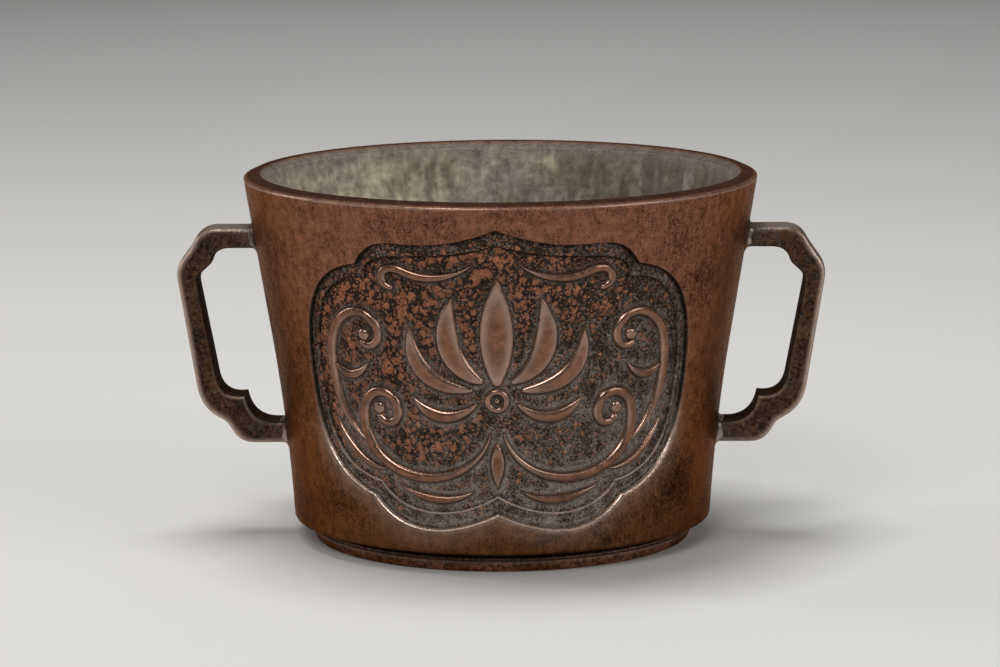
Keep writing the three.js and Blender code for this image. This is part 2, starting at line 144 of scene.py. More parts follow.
class PatinaColours(bpy.types.PropertyGroup):
    rubbed_brown: tint("Rubbed brown", "Handled reddish brown of the wall", (0.200, 0.087, 0.050))
    umber: tint("Umber", "Warm brown of the wall's lower part", (0.120, 0.047, 0.017))
    blackened: tint("Blackened", "Dark specks and blotches", (0.010, 0.006, 0.004))
    # The polished colour also paints highlights and glints on crests, edges, crowns and the lip.
    polish_and_highlight: tint("Polished", "Pale metal on rubbed edges", (0.64, 0.49, 0.40))
    panel_dark: tint("Panel dark", "Blackened ground of the cartouches", (0.024, 0.016, 0.013))
    panel_grey: tint("Panel grey", "Grey flecks on the ground", (0.22, 0.19, 0.175))
    panel_rust: tint("Panel rust", "Reddish brown blotches on the ground", (0.24, 0.102, 0.054))
    dust: tint("Dust", "Grey powder on the ground", (0.226, 0.188, 0.166))
    rim_brown: tint("Rim brown", "Dark brown of the rim's slope", (0.028, 0.014, 0.010))
    bore_olive: tint("Bore olive", "Grey green inside the bowl", (0.19, 0.175, 0.12))
    bore_pale: tint("Bore pale", "Pale deposit inside the bowl", (0.46, 0.405, 0.29))
    bore_mauve: tint("Bore mauve", "Brownish grey clouds inside the bowl", (0.27, 0.22, 0.19))
    bore_stain: tint("Bore stain", "Brown stains inside the bowl", (0.095, 0.062, 0.047))
    handle_dark: tint("Handle dark", "Dark brown of the handles", (0.060, 0.031, 0.018))
    handle_olive: tint("Handle olive", "Golden olive patches of the handles", (0.115, 0.062, 0.026))
    handle_mauve: tint("Handle mauve", "Purplish grey clouds of the handles", (0.15, 0.112, 0.098))
    # This grey also paints the light that the upper bars' top faces catch from above.
    handle_grey: tint("Handle grey", "Worn grey of the upper bars' tops", (0.17, 0.145, 0.125))
    # On the foot this grey also paints a highlight where the face turns up above the swell.
    foot_grey: tint("Foot grey", "Grey over the foot's swell", (0.20, 0.15, 0.125))
    solder_grey: tint("Solder grey", "Grey of the solder", (0.15, 0.115, 0.092))


class StageSettings(bpy.types.PropertyGroup):
    floor_colour: tint("Floor colour", "Plain pale floor", (0.52, 0.51, 0.495))
    key_power: power("Key power", "Softbox above the front", 8.0)
    top_power: power("Top power", "Softbox overhead", 12.0)
    side_power: power("Side power", "Narrow softbox behind the left side", 3.0)
    fill_power: power("Fill power", "Softbox at the right front", 5.6)
    back_power: power("Back power", "Low softbox behind the vessel", 1.0)
    sky_level: FloatProperty(name="Sky level", description="Strength of the plain surroundings",
                             default=0.2, min=0.0)


class CenserSettings(bpy.types.PropertyGroup):
    vessel: PointerProperty(type=VesselSizes)
    foot: PointerProperty(type=FootSizes)
    cartouche: PointerProperty(type=CartoucheSizes)
    handle: PointerProperty(type=HandleSizes)
    colours: PointerProperty(type=PatinaColours)
    stage: PointerProperty(type=StageSettings)


def in_millimetres(group):
    """The group's values as plain numbers by name, with lengths in millimetres."""
    values = {}
    for name, prop in group.bl_rna.properties.items():
        if prop.type == "FLOAT" and not prop.is_array:
            scale = 1 / MM if prop.unit == "LENGTH" else 1.0
            values[name] = getattr(group, name) * scale
    return values


# Curves and grids

def smoothstep(value, low, high):
    """0 up to low and 1 from high. Between them it is 3 times the share squared less twice it cubed."""
    share = np.clip((value - low) / (high - low), 0.0, 1.0)
    return share * share * (3 - 2 * share)


def hill(value, middle, width):
    """A bell curve: 1 at the middle, and e to the minus square of the distance in widths elsewhere."""
    return np.exp(-(((value - middle) / width) ** 2))


def bezier(controls, shares):
    """Points of a Bezier curve: neighbouring control points are mixed by the share until one is left."""
    points = np.repeat(np.asarray(controls, float)[:, None, :], len(shares), axis=1)
    while len(points) > 1:
        points = points[:-1] + (points[1:] - points[:-1]) * shares[:, None]
    return points[0]


def full_turn(count):
    """Angles evenly round a circle, without the last one, where it closes."""
    return np.linspace(0, 2 * np.pi, count, endpoint=False)


def chained(curves):
    """Several Bezier curves end to end as one fine polyline."""
    shares = np.linspace(0, 1, 60)
    return np.concatenate([bezier(controls, shares)[(i > 0):] for i, controls in enumerate(curves)])


def evenly(points, count):
    """Resamples a polyline at equal steps of its length."""
    steps = np.hypot(*np.diff(points, axis=0).T)
    travelled = np.concatenate([[0.0], np.cumsum(steps)])
    wanted = np.linspace(0.0, travelled[-1], count)
    return np.stack([np.interp(wanted, travelled, axis) for axis in points.T], axis=1)


def rounded(corners, setbacks, arc_points=6):
    """A polyline whose inner corners are quadratic arcs that start and end a setback from the corner."""
    corners = [np.asarray(corner, float) for corner in corners]
    pieces = [corners[:1]]
    for before, corner, after, setback in zip(corners, corners[1:], corners[2:], setbacks):
        if setback:
            start = corner + (before - corner) * setback / np.linalg.norm(before - corner)
            end = corner + (after - corner) * setback / np.linalg.norm(after - corner)
            pieces.append(bezier([start, corner, end], np.linspace(0, 1, arc_points)))
        else:
            pieces.append([corner])
    pieces.append(corners[-1:])
    return np.concatenate(pieces)


def closer(points, reach):
    """Adds points to a polyline so that no step is longer than the reach, one number or one a step."""
    steps = np.linalg.norm(np.diff(points, axis=0), axis=1)
    runs = [points[i] + (points[i + 1] - points[i]) * np.linspace(0, 1, parts, endpoint=False)[:, None]
            for i, parts in enumerate(np.maximum(np.ceil(steps / reach), 1).astype(int))]
    return np.concatenate(runs + [points[-1:]])


def turned(profile, angles):
    """Turns [radius, level] points about the axis: a grid of profile rows by angles, 0 facing -Y. Each
    point is at the radius times the sine, minus the radius times the cosine, and the level."""
    radius, level = profile[:, :1], profile[:, 1:]
    across, forward = radius * np.sin(angles), -radius * np.cos(angles)
    return np.stack(np.broadcast_arrays(across, forward, level), axis=-1)


def grid_faces(rows, columns, wrap, offset):
    """Four corner numbers for each quad between neighbouring rows and columns, counted from an offset.
    A wrapped grid has quads between its last column and its first one too."""
    index = offset + np.arange(rows * columns).reshape(rows, columns)
    if wrap:
        index = np.concatenate([index, index[:, :1]], axis=1)
    corners = index[:-1, :-1], index[:-1, 1:], index[1:, 1:], index[1:, :-1]
    return np.stack(corners, axis=-1).reshape(-1, 4)


class Patch:
    """A grid of points in millimetres, with values by name at each point for its material."""

    def __init__(self, points, wrap=True, **values):
        self.points, self.wrap = points, wrap
        self.values = {name: np.broadcast_to(value, points.shape[:2]) for name, value in values.items()}

    def half_turned(self):
        """The same patch on the other side of the vessel."""
        return Patch(self.points * [-1, -1, 1], self.wrap, **self.values)


def add_piece(name, patches, material, slot, *replaced):
    """Makes one object of several patches.

    Points that meet are merged, which closes seams and poles, and the faces of the closed shells are
    turned outwards.
    """
    points = np.concatenate([patch.points.reshape(-1, 3) for patch in patches]) * MM
    faces, offset = [], 0
    for patch in patches:
        rows, columns = patch.points.shape[:2]
        faces.append(grid_faces(rows, columns, patch.wrap, offset))
        offset += rows * columns
    mesh = bpy.data.meshes.new(name)
    mesh.from_pydata(points.tolist(), [], np.concatenate(faces).tolist())
    for key in sorted({key for patch in patches for key in patch.values}):
        values = [patch.values.get(key, np.zeros(patch.points.shape[:2])).reshape(-1) for patch in patches]
        attribute = mesh.attributes.new(key, "FLOAT", "POINT")
        attribute.data.foreach_set("value", np.concatenate(values).astype(np.float32))

    shell = bmesh.new()
    shell.from_mesh(mesh)
    bmesh.ops.remove_doubles(shell, verts=shell.verts, dist=MERGE_DISTANCE)
    bmesh.ops.dissolve_degenerate(shell, edges=shell.edges, dist=SLIVER)
    bmesh.ops.recalc_face_normals(shell, faces=shell.faces)
    open_edges = sum(1 for edge in shell.edges if not edge.is_manifold)
    shell.to_mesh(mesh)
    shell.free()
    if open_edges:
        raise RuntimeError(f"{name} isn't closed: {open_edges} open edges")
    mesh.shade_smooth()
    mesh.materials.append(material)

    piece = bpy.data.objects.new(name, mesh)
    bpy.context.scene.collection.objects.link(piece)
    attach(piece, BODY)
    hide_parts(*replaced)
    print(f"{name}: {sum(len(face.vertices) - 2 for face in mesh.polygons)} triangles")
    return piece


# The vessel's shape

class Vessel:
    """The wall's outside and bore, its levels, and the drawing of the cartouche laid round it."""

    def __init__(self, settings):
        self.__dict__.update(in_millimetres(settings.vessel))
        cartouche = in_millimetres(settings.cartouche)
        self.panel_depth, self.relief_height = cartouche["panel_depth"], cartouche["relief_height"]
        self.rim_edge = self.height - self.rim_edge_drop
        self.foot_swell = self.foot_radius - self.cone(self.foot_level)
        top = self.rim_edge - cartouche["top_margin"]
        foot = self.foot_level + cartouche["foot_margin"]
        self.drawing_middle = (top + foot) / 2
        self.drawn_up = (top - foot) / (2 * DRAWING_HALF_HEIGHT)
        self.drawn_round = cartouche["half_angle"] / DRAWING_HALF_WIDTH

    def cone(self, level):
        """The outer radius of the straight cone: the rim's, less the taper times the drop below it."""
        return self.rim_radius - (self.rim_edge - level) * self.taper

    def radius(self, level):
        """The outside follows the cone. Below the steepening it curves out to the foot's radius with the
        square of the share of the way down."""
        share = np.maximum(self.steepening_top - level, 0) / (self.steepening_top - self.foot_level)
        return self.cone(level) + self.foot_swell * share ** 2

    def bore(self, level):
        """The inner radius: the cone's, less the wall's level thickness."""
        return self.cone(level) - self.thickness

    def laid(self, drawing, height):
        """Lays [across, up] points of the drawing round the wall, each at its height off the outside:
        up gives the level, across gives the angle, and the radius is the outside's plus the height."""
        level = self.drawing_middle + drawing[..., 1] * self.drawn_up
        angle = drawing[..., 0] * self.drawn_round
        radius = self.radius(level) + height
        return np.stack([radius * np.sin(angle), -radius * np.cos(angle), level], axis=-1)


# The cartouche is drawn flat, in millimetres from its own middle, across and up. Each outline's right
# half is four cubic lobes, from its top cusp down to its bottom cusp.
DRAWING_HALF_WIDTH, DRAWING_HALF_HEIGHT = 52.2, 37.15
PANEL_MIDDLE = np.array([0.0, 1.5])
EDGE_LOBES = (
    ((0, 37.1), (20.6, 28.2), (25.8, 38.9), (33, 27.6)),
    ((33, 27.6), (47.2, 25.2), (52.2, 12.3), (52.2, -2.6)),
    ((52.2, -2.6), (52.1, -7.3), (53.5, -24), (33.5, -29.8)),
    ((33.5, -29.8), (28.2, -35.9), (18.5, -41.1), (0, -33)),
)
PANEL_LOBES = (
    ((0, 33.3), (15.8, 27.4), (31.8, 33.5), (31, 24.3)),
    ((31, 24.3), (49, 25), (49.3, 2), (49.3, -2)),
    ((49.3, -2), (49.1, -12.3), (47.9, -23.4), (31.5, -26.2)),
    ((31.5, -26.2), (27.8, -32.4), (14, -36.6), (0, -28.6)),
)

# Steps along the lobes. A lobe that passes a corner of the wall's half is cut there.
TOP_LOBE_STEPS, SHOULDER_STEPS, SIDE_STEPS, HIP_STEPS = 52, 26, 32, 26

# Across the border from the wall inwards: distance outside the edge outline, and depth. The lip is soft
# where it faces up. Elsewhere it is crisp: its outer points keep only a share of distance and depth.
CRISP_LIP = 0.3
LIP = np.array([
    (1.7, 0), (1.35, 0.008), (1.05, 0.03), (0.8, 0.07), (0.58, 0.135), (0.4, 0.22), (0.26, 0.32),
    (0.14, 0.44), (0.05, 0.58), (0, 0.74), (-0.05, 0.92), (-0.11, 1.08), (-0.22, 1.23), (-0.4, 1.3),
    (-0.62, 1.26), (-0.85, 1.14), (-1.1, 1.05),
])
# Over the band as shares of the way to the inner step, and depth.
BAND = np.array([(0.2, 1.03), (0.4, 1.07), (0.6, 1.1), (0.8, 1.08)])
# Down the inner step: distance outside the panel outline, and depth.
STEP = np.array([
    (0.62, 1.03), (0.42, 0.99), (0.26, 0.99), (0.14, 1.04), (0.05, 1.14), (-0.02, 1.28), (-0.09, 1.42),
    (-0.18, 1.52), (-0.32, 1.58), (-0.6, 1.6),
])
OUTER_ROWS, PANEL_ROWS = 15, 34
# A distance from an outline that is past the reach of every mask.
FAR = 9.0
RIM_ROUNDING = 0.3
# How strongly points crowd towards a cusp, and how far from it the outline's directions are drawn in.
CUSP_PULL, CUSP_CALM = 0.7, 1.4


def crowded(count, at_start, at_end):
    """Even shares from 0 up to 1, without 1, each moved by a part of a sine towards the ends that are
    cusps."""
    share = np.arange(count) / count
    if at_start and at_end:
        return share - CUSP_PULL * np.sin(2 * np.pi * share) / (2 * np.pi)
    if at_start or at_end:
        return share + (CUSP_PULL if at_end else -CUSP_PULL) * np.sin(np.pi * share) / np.pi
    return share


def lobed_outline(lobes, cuts):
    """The closed outline, clockwise from its top cusp: the lobes' points, and their mirror images. The
    cuts are the shares of the second and the third lobe at which their steps change."""
    shoulder, hip = cuts
    stretches = [
        (lobes[0], 0, 1, TOP_LOBE_STEPS, True, True),
        (lobes[1], 0, shoulder, SHOULDER_STEPS, True, False),
        (lobes[1], shoulder, 1, SIDE_STEPS, False, False),
        (lobes[2], 0, hip, SIDE_STEPS, False, False),
        (lobes[2], hip, 1, HIP_STEPS, False, True),
        (lobes[3], 0, 1, TOP_LOBE_STEPS, True, True),
    ]
    right = np.concatenate([bezier(lobe, start + (end - start) * crowded(count, first, last))
                            for lobe, start, end, count, first, last in stretches])
    foot = np.array([lobes[3][3]], float)
    return np.concatenate([right, foot, right[:0:-1] * [-1, 1]])


def cusp_places():
    """Places of the six cusps in an outline's points."""
    half = 2 * (TOP_LOBE_STEPS + SHOULDER_STEPS + SIDE_STEPS)
    right = [0, TOP_LOBE_STEPS, half - TOP_LOBE_STEPS, half]
    return right + [2 * half - place for place in right[1:3]]


def outward(outline):
    """Unit directions square to a clockwise outline. Near a cusp they are mixed with the cusp's own
    direction, more the nearer they are, so they don't cross."""
    along = np.roll(outline, -1, axis=0) - np.roll(outline, 1, axis=0)
    normal = np.stack([-along[:, 1], along[:, 0]], axis=1) / np.hypot(*along.T)[:, None]
    calm = normal.copy()
    for place in cusp_places():
        apart = smoothstep(np.hypot(*(outline - outline[place]).T), 0.0, CUSP_CALM)[:, None]
        calm = normal[place] + (calm - normal[place]) * apart
    return calm


def corner_shares(corners):
    """Shares of the second and third edge lobes at which they pass the rays to the two right corners."""
    share = np.linspace(0, 1, 2000)
    found = []
    for lobe, corner in zip(EDGE_LOBES[1:3], corners):
        across, up = bezier(lobe, share).T
        found.append(np.interp(-math.atan2(corner[1], corner[0]), -np.arctan2(up, across), share))
    return found


def carried_out(outline, corners):
    """Where rays from the drawing's middle through an outline leave the rectangle with these right
    corners. The four points nearest its corners are put on them."""
    (half_width, top), (_, foot) = corners
    with np.errstate(divide="ignore"):
        scale = np.minimum(half_width / np.abs(outline[:, 0]),
                           np.where(outline[:, 1] > 0, top, foot) / outline[:, 1])
    border = outline * scale[:, None]
    shoulder = TOP_LOBE_STEPS + SHOULDER_STEPS
    hip = shoulder + 2 * SIDE_STEPS
    for place, corner in ((shoulder, corners[0]), (hip, corners[1])):
        border[place] = corner
        border[-place] = -corner[0], corner[1]
    return border


def outer_levels(vessel):
    """Levels between which the wall's outside follows the cartouche: clear of its rounded edges."""
    return vessel.foot_level + vessel.foot_rounding, vessel.rim_edge - 2 * RIM_ROUNDING


def cast_unevenness(drawing):
    """Slow swells of the cast ground, up to about 0.06 mm: the sum of four plane sine waves."""
    across, up = drawing[..., 0], drawing[..., 1]
    waves = ((0.31, 0.17, 0.4), (-0.22, 0.38, 1.9), (0.53, -0.41, 3.1), (0.12, 0.71, 4.4))
    swell = 0.015
    return sum(np.sin(a * across + b * up + phase) for a, b, phase in waves) * swell


def wall_half(vessel):
    """The front half of the wall's outside, as rings that follow the cartouche.

    The rings run from the half's own border in to the cartouche's edge, over its lip, groove, band and
    inner step, and on to the middle of the panel. Each lies at its depth under the outside, and the sunk
    ones swell with the cast ground too.
    """
    quarter = (math.pi / 2) / vessel.drawn_round
    foot, top = ((level - vessel.drawing_middle) / vessel.drawn_up for level in outer_levels(vessel))
    corners = ((quarter, top), (quarter, foot))
    shares = corner_shares(corners)
    edge, panel = lobed_outline(EDGE_LOBES, shares), lobed_outline(PANEL_LOBES, shares)
    from_edge, from_panel = outward(edge), outward(panel)
    border = carried_out(edge, corners)

    facing_up = smoothstep(-from_edge[:, 1], 0.0, 0.6)
    softness = np.where(LIP[:, :1] > 0, CRISP_LIP + (1 - CRISP_LIP) * facing_up, 1)
    lip = edge + from_edge * (LIP[:, :1] * softness)[..., None]
    step = panel + from_panel * STEP[:, 0, None, None]
    inwards = np.linspace(1, 0, OUTER_ROWS, endpoint=False)[:, None, None]
    outside = lip[0] + (border - lip[0]) * inwards
    band = lip[-1] + (step[0] - lip[-1]) * BAND[:, 0, None, None]
    inwards = np.linspace(1, 0, PANEL_ROWS + 1)[1:, None, None]
    inside = PANEL_MIDDLE + (step[-1] - PANEL_MIDDLE) * inwards
    drawing = np.concatenate([outside, lip, band, step, inside])

    sunk_depth = np.concatenate([BAND[:, 1], STEP[:, 1], np.full(PANEL_ROWS, vessel.panel_depth)])
    depth = np.concatenate([np.zeros((OUTER_ROWS, len(edge))), LIP[:, 1:] * softness,
                            np.repeat(sunk_depth[:, None], len(edge), axis=1)])
    row = np.arange(len(depth))[:, None]
    sunk = row >= OUTER_ROWS + len(LIP)
    height = -depth + np.where(sunk, cast_unevenness(drawing), 0.0)
    off_lip = np.zeros(depth.shape)
    off_lip[:OUTER_ROWS] = np.hypot(*np.moveaxis(outside - lip[0], -1, 0))
    in_panel = row >= len(depth) - PANEL_ROWS - 2
    return Patch(vessel.laid(drawing, height),
                 **wall_masks(drawing, depth, facing_up, off_lip, in_panel))


def wall_masks(drawing, depth, facing_up, off_lip, in_panel):
    """Where the wall's outside is blackened ground, rubbed and painted with highlights, grimed and painted
    with shade, dusty, rusty and sooty.

    The lip and the inner step are rubbed along their crests, with a painted highlight that is strongest
    where they face up, and a faint painted sheen fades out from the lip. Grime and painted shade fill the
    groove and the foot of the step, darker where they face down. A grey deposit lies beside the strokes,
    and the grey on the groove's inner side is a deposit with a painted highlight on its rise.
    """
    to_edge = np.concatenate([np.full(OUTER_ROWS, FAR), LIP[:, 0],
                              np.full(len(BAND) + len(STEP) + PANEL_ROWS, -FAR)])[:, None]
    to_panel = np.concatenate([np.full(OUTER_ROWS + len(LIP) + len(BAND), FAR), STEP[:, 0],
                               np.full(PANEL_ROWS, -FAR)])[:, None]
    # Where the lip faces down, the blackened ground starts higher on its flank, which paints shade along
    # the cartouche's upper edge.
    ground_start = 0.12 + 0.72 * facing_up
    ground = smoothstep(depth, ground_start, ground_start + 0.2)
    crests = hill(to_edge, 0.17, 0.2) + 0.2 * hill(to_edge, 0.7, 0.5) + hill(to_panel, 0.22, 0.2)
    # A painted sheen on the wall just below the lower lobes.
    painted_sheen = 0.11 * hill(off_lip, 0.0, 3.2) * (to_edge > 0) * facing_up
    groove = ground * (1 - smoothstep(-to_edge, 0.2, 0.5))
    step_foot = hill(to_panel, -0.2, 0.2)
    beside_strokes = thinning(distance_to_strokes(drawing)) * in_panel
    return {
        "ground": ground,
        # Worn crests with a painted highlight that is strongest where they face up, and the painted sheen.
        "rub": crests * (0.06 + 0.94 * facing_up) + painted_sheen,
        # Grime with painted shade in the groove and at the step's foot, darker where they face down.
        "grime": groove * (1 - 0.3 * facing_up) + 0.8 * step_foot * (1 - 0.5 * facing_up),
        # A grey deposit beside the strokes. On the groove's inner side the grey also paints a highlight.
        "dust": np.maximum(beside_strokes, 0.7 * hill(to_edge, -0.95, 0.4)),
        "rusty": ground * rust_share(drawing) * np.where(in_panel, 1.0, 0.6),
        "soot": soot(drawing) * (1 - ground),
    }


def rust_share(drawing):
    """How densely the ground is blotched: 1 at the upper left, falling smoothly to a quarter at the
    lower right."""
    towards_lower_right = drawing[..., 0] * 0.7 - drawing[..., 1] * 0.6
    return 1 - 0.75 * smoothstep(towards_lower_right, -16, 34)


# Where black blotches gather on the wall: across, up, spread and weight of each soft spot.
SOOT_SPOTS = (
    (-58, -6, 16, 0.35), (-62, 26, 9, 0.5), (-44, -33, 9, 0.5), (54, 22, 8, 0.6), (70, -8, 14, 0.25),
    (52, -30, 9, 0.9), (43, 36, 7, 0.3), (-13, 38, 4, 0.4), (-66, -38, 10, 0.5), (12, -39, 8, 0.4),
    (80, 30, 12, 0.2), (-82, 8, 14, 0.5), (30, -40, 7, 0.5),
)


def soot(drawing):
    """The sum of the spots' bell curves and of a band beside each handle, at most 1. The band is dark
    streaking that also paints shade on the wall's sides.
    """
    across, up = drawing[..., 0], drawing[..., 1]
    spots = sum(weight * hill(np.hypot(across - middle, up - height), 0.0, spread)
                for middle, height, spread, weight in SOOT_SPOTS)
    # Dark streaks beside each handle, which also paint shade where the wall turns away at its sides.
    beside_handles = 0.35 * hill(np.abs(across), 78, 10)
    return np.clip(spots + beside_handles, 0.0, 1.0)


def wall_inside(vessel, outside):
    """The rest of the wall as one turned grid: under its foot, up the rebate and the bore, and over the
    rim. Its columns meet the lower and the upper border of both outer halves, and on the way up the bore
    their angles pass smoothly from the one border's to the other's. The rim's edge has wear and a painted
    highlight, least in the middle, and painted shade darkens the bore along the rim's inner edge."""
    rim_inner = vessel.height - vessel.rim_chamfer
    slope_end = vessel.rim_radius - vessel.rim_slope
    rebate = vessel.foot_radius - vessel.rebate_lip
    shoulder = vessel.foot_level + vessel.rebate_height
    foot_edge, rim_border = outer_levels(vessel)
    profile = rounded([
        (vessel.radius(foot_edge), foot_edge), (vessel.foot_radius, vessel.foot_level),
        (rebate, vessel.foot_level), (rebate, shoulder), (vessel.bore(shoulder), shoulder),
        (vessel.bore(rim_inner), rim_inner), (slope_end - vessel.rim_crown, vessel.height),
        (slope_end, vessel.height), (vessel.rim_radius, vessel.rim_edge),
        (vessel.radius(rim_border), rim_border),
    ], [0.85 * vessel.foot_rounding, 0.2, 0.2, 0.2, 0.4, 0.28, 0.28, RIM_ROUNDING])
    up_the_bore = (profile[:-1, 1] > shoulder - 0.1) & (profile[1:, 1] < rim_inner)
    bore_step, edge_step = 4.0, 1.2
    profile = closer(profile, np.where(up_the_bore, bore_step, edge_step))

    angle = np.arctan2(outside.points[0, :, 0], -outside.points[0, :, 1])
    shoulder_place = TOP_LOBE_STEPS + SHOULDER_STEPS
    hip_place = shoulder_place + 2 * SIDE_STEPS
    top = np.concatenate([angle[-shoulder_place:], angle[:shoulder_place]])
    foot = angle[hip_place + 1:1 - hip_place][::-1]
    half = foot + (top - foot) * smoothstep(profile[:, 1:], shoulder, rim_inner)
    angles = np.concatenate([half, half + math.pi], axis=1)

    radius, level = profile[:, :1], profile[:, 1:]
    past_crown = (radius > slope_end - vessel.rim_crown) & (level > rim_inner - 0.25)
    over_rim = np.where(past_crown, 1.0, smoothstep(level, rim_inner + 1.2, rim_inner + 1.6))
    well_inside = radius < vessel.radius(level) - vessel.thickness / 2
    in_bore = well_inside * smoothstep(level, shoulder - 0.2, shoulder + 0.2) * (1 - over_rim)
    from_edge = vessel.rim_radius - radius
    # The rim's painted highlight, with its wear, is faint in the middle.
    less_in_the_middle = 1 - 0.8 * hill(radius * np.sin(angles), 5, 15)
    return Patch(
        turned(profile, angles),
        rim=over_rim * smoothstep(from_edge, 0.12, 0.5),
        bore=in_bore,
        rub=0.42 * less_in_the_middle * (level > rim_inner) * hill(from_edge, 0.05, 0.15),
        # Painted shade on the rim's inner chamfer, which faces up.
        grime=smoothstep(level, rim_inner - 0.15, rim_inner + 0.1) * in_bore,
    )


# Relief

class Stroke:
    """One stroke of the relief, on the cartouche's drawing.

    It follows cubic spans end to end, is widest at its peak (a share of its length), and narrows to a
    share of that width at its start and its end. A paired one has a mirror image.
    """

    narrowest = 0.3

    def __init__(self, spans, width, peak, start=0.0, end=0.0, paired=True):
        self.spans = np.array(spans, float)
        self.width, self.peak, self.start, self.end = width, peak, start, end
        self.sides = (1, -1) if paired else (1,)

    def half_widths(self, share):
        """Rises with a power of a sine to the peak, and falls from it with one of a cosine."""
        rise = np.sin(np.pi / 2 * np.minimum(share / self.peak, 1)) ** 0.8
        fall = np.cos(np.pi / 2 * np.maximum((share - self.peak) / (1 - self.peak), 0)) ** 0.8
        narrow = np.minimum(self.start + (1 - self.start) * rise, self.end + (1 - self.end) * fall)
        return np.maximum(self.width * narrow, self.narrowest) / 2

    def centre_line(self, side, step):
        """Points on the spans about a step apart, and unit directions along them."""
        dense = chained([self.spans[i:i + 4] for i in range(0, len(self.spans) - 1, 3)])
        whole = np.hypot(*np.diff(dense, axis=0).T).sum()
        line = evenly(dense * [side, 1], max(int(whole / step), 16))
        along = np.gradient(line, axis=0)
        return line, along / np.hypot(*along.T)[:, None]


# A lotus between scrolls: its petals, the stems that curl to each side, their leaves, the two sprays at
# the top, the drop under the pod and the leaves along the foot.
STROKES = (
    Stroke([(0, -0.1), (0, 6.4), (0, 12.4), (0, 24.9)], width=8, peak=0.42, start=0.35, paired=False),
    Stroke([(4.2, -0.1), (11.5, 3.4), (13.5, 10.4), (10.2, 20.4)], width=5.6, peak=0.45, start=0.35),
    Stroke([(6.5, -2.4), (16.5, -1.8), (21.5, 2.9), (20.6, 12.9)], width=4.6, peak=0.5, start=0.3),
    Stroke([(5.2, -6), (10, -10.2), (16.5, -10.4), (20.6, -4.8)],
           width=3.4, peak=0.6, start=0.25, end=0.15),
    Stroke([(1.6, -13.1), (3.5, -20.6), (11, -25), (20, -24.4), (31, -23.6), (37.5, -15.6), (35, -8.1),
            (33.2, -2.6), (26, -2.4), (25.4, -8), (25.1, -11.2), (28.2, -12.7), (30.2, -10.4)],
           width=2.9, peak=0.45, start=0.15, end=0.75),
    Stroke([(33.4, -17.4), (41.5, -14.1), (46.2, -3.1), (43.6, 6.9), (41.6, 14.9), (33, 18.6),
            (29.6, 12.8), (27.8, 9.6), (30.6, 6), (33.4, 7.8)],
           width=2.6, peak=0.45, start=0.1, end=0.75),
    Stroke([(42.8, 1.9), (39.6, -1.6), (35.6, -0.8), (32.6, 3)], width=2.6, peak=0.4, start=0.1),
    Stroke([(5, 28.6), (10.5, 24.6), (16.4, 24.2), (21.4, 26.6), (26.2, 28.8), (28.6, 23.6),
            (24.6, 22.4)], width=2.4, peak=0.55, end=0.7),
    Stroke([(0, -16.1), (0, -19.6), (0, -22.6), (0, -26.8)], width=3.8, peak=0.4, start=0.3, paired=False),
    Stroke([(6, -27.4), (11.5, -31), (19, -30.4), (26.4, -26.6)], width=2.4, peak=0.5),
    Stroke([(29, -23), (34.4, -23.8), (40.6, -20.2), (44.6, -12.6)], width=2.2, peak=0.5),
)
# Across, up and radius of the buds in the scrolls' curls.
BUDS = ((30.6, -8, 1.6), (-30.6, -8, 1.6), (33, 10, 1.5), (-33, 10, 1.5))
POD_CENTRE, POD_RADIUS, POD_WALL = (0, -5), 3.1, 1.6

# The concave foot round strokes and bosses: its reach, the shares of that for its points, the height at
# which it starts, how far it ends under the ground, and the depth of the root below it.
FLARE, FLARE_SHARES = 1.1, np.array([0.12, 0.3, 0.55, 0.8, 1.0])
FOOT_HEIGHT, FOOT_SINK, SUNK_ROOT = 0.16, 0.05, 0.4
# How far the grey deposit beside the strokes is at full strength, and how fast it thins out beyond.
DUST_REACH, DUST_FADE = 0.3, 0.8


def flare_height(distance):
    """Height of the concave foot at a distance outside a stroke: it falls with the square of the share
    that is left, and ends just under the ground."""
    share = np.clip(distance / FLARE, 0, 1)
    return FOOT_HEIGHT * (1 - share) ** 2 - FOOT_SINK * share


def distance_to_strokes(drawing):
    """Distance in the drawing from each point to the nearest stroke's or boss's outline."""
    centres, halves = [], []
    for stroke in STROKES:
        for side in stroke.sides:
            line, _ = stroke.centre_line(side, 1.0)
            centres.append(line)
            halves.append(stroke.half_widths(np.linspace(0, 1, len(line))))
    centres.append(np.array([(across, up) for across, up, _ in BUDS] + [POD_CENTRE], float))
    halves.append(np.array([radius for _, _, radius in BUDS] + [POD_RADIUS]))
    centres, halves = np.concatenate(centres), np.concatenate(halves)
    nearest = np.full(drawing.shape[:-1], np.inf)
    for (across, up), half in zip(centres, halves):
        nearest = np.minimum(nearest, np.hypot(drawing[..., 0] - across, drawing[..., 1] - up) - half)
    return nearest


def thinning(distance):
    """1 within the dust's reach, and fading by e for each further step of its fade."""
    return np.exp(-np.maximum(distance - DUST_REACH, 0) / DUST_FADE)


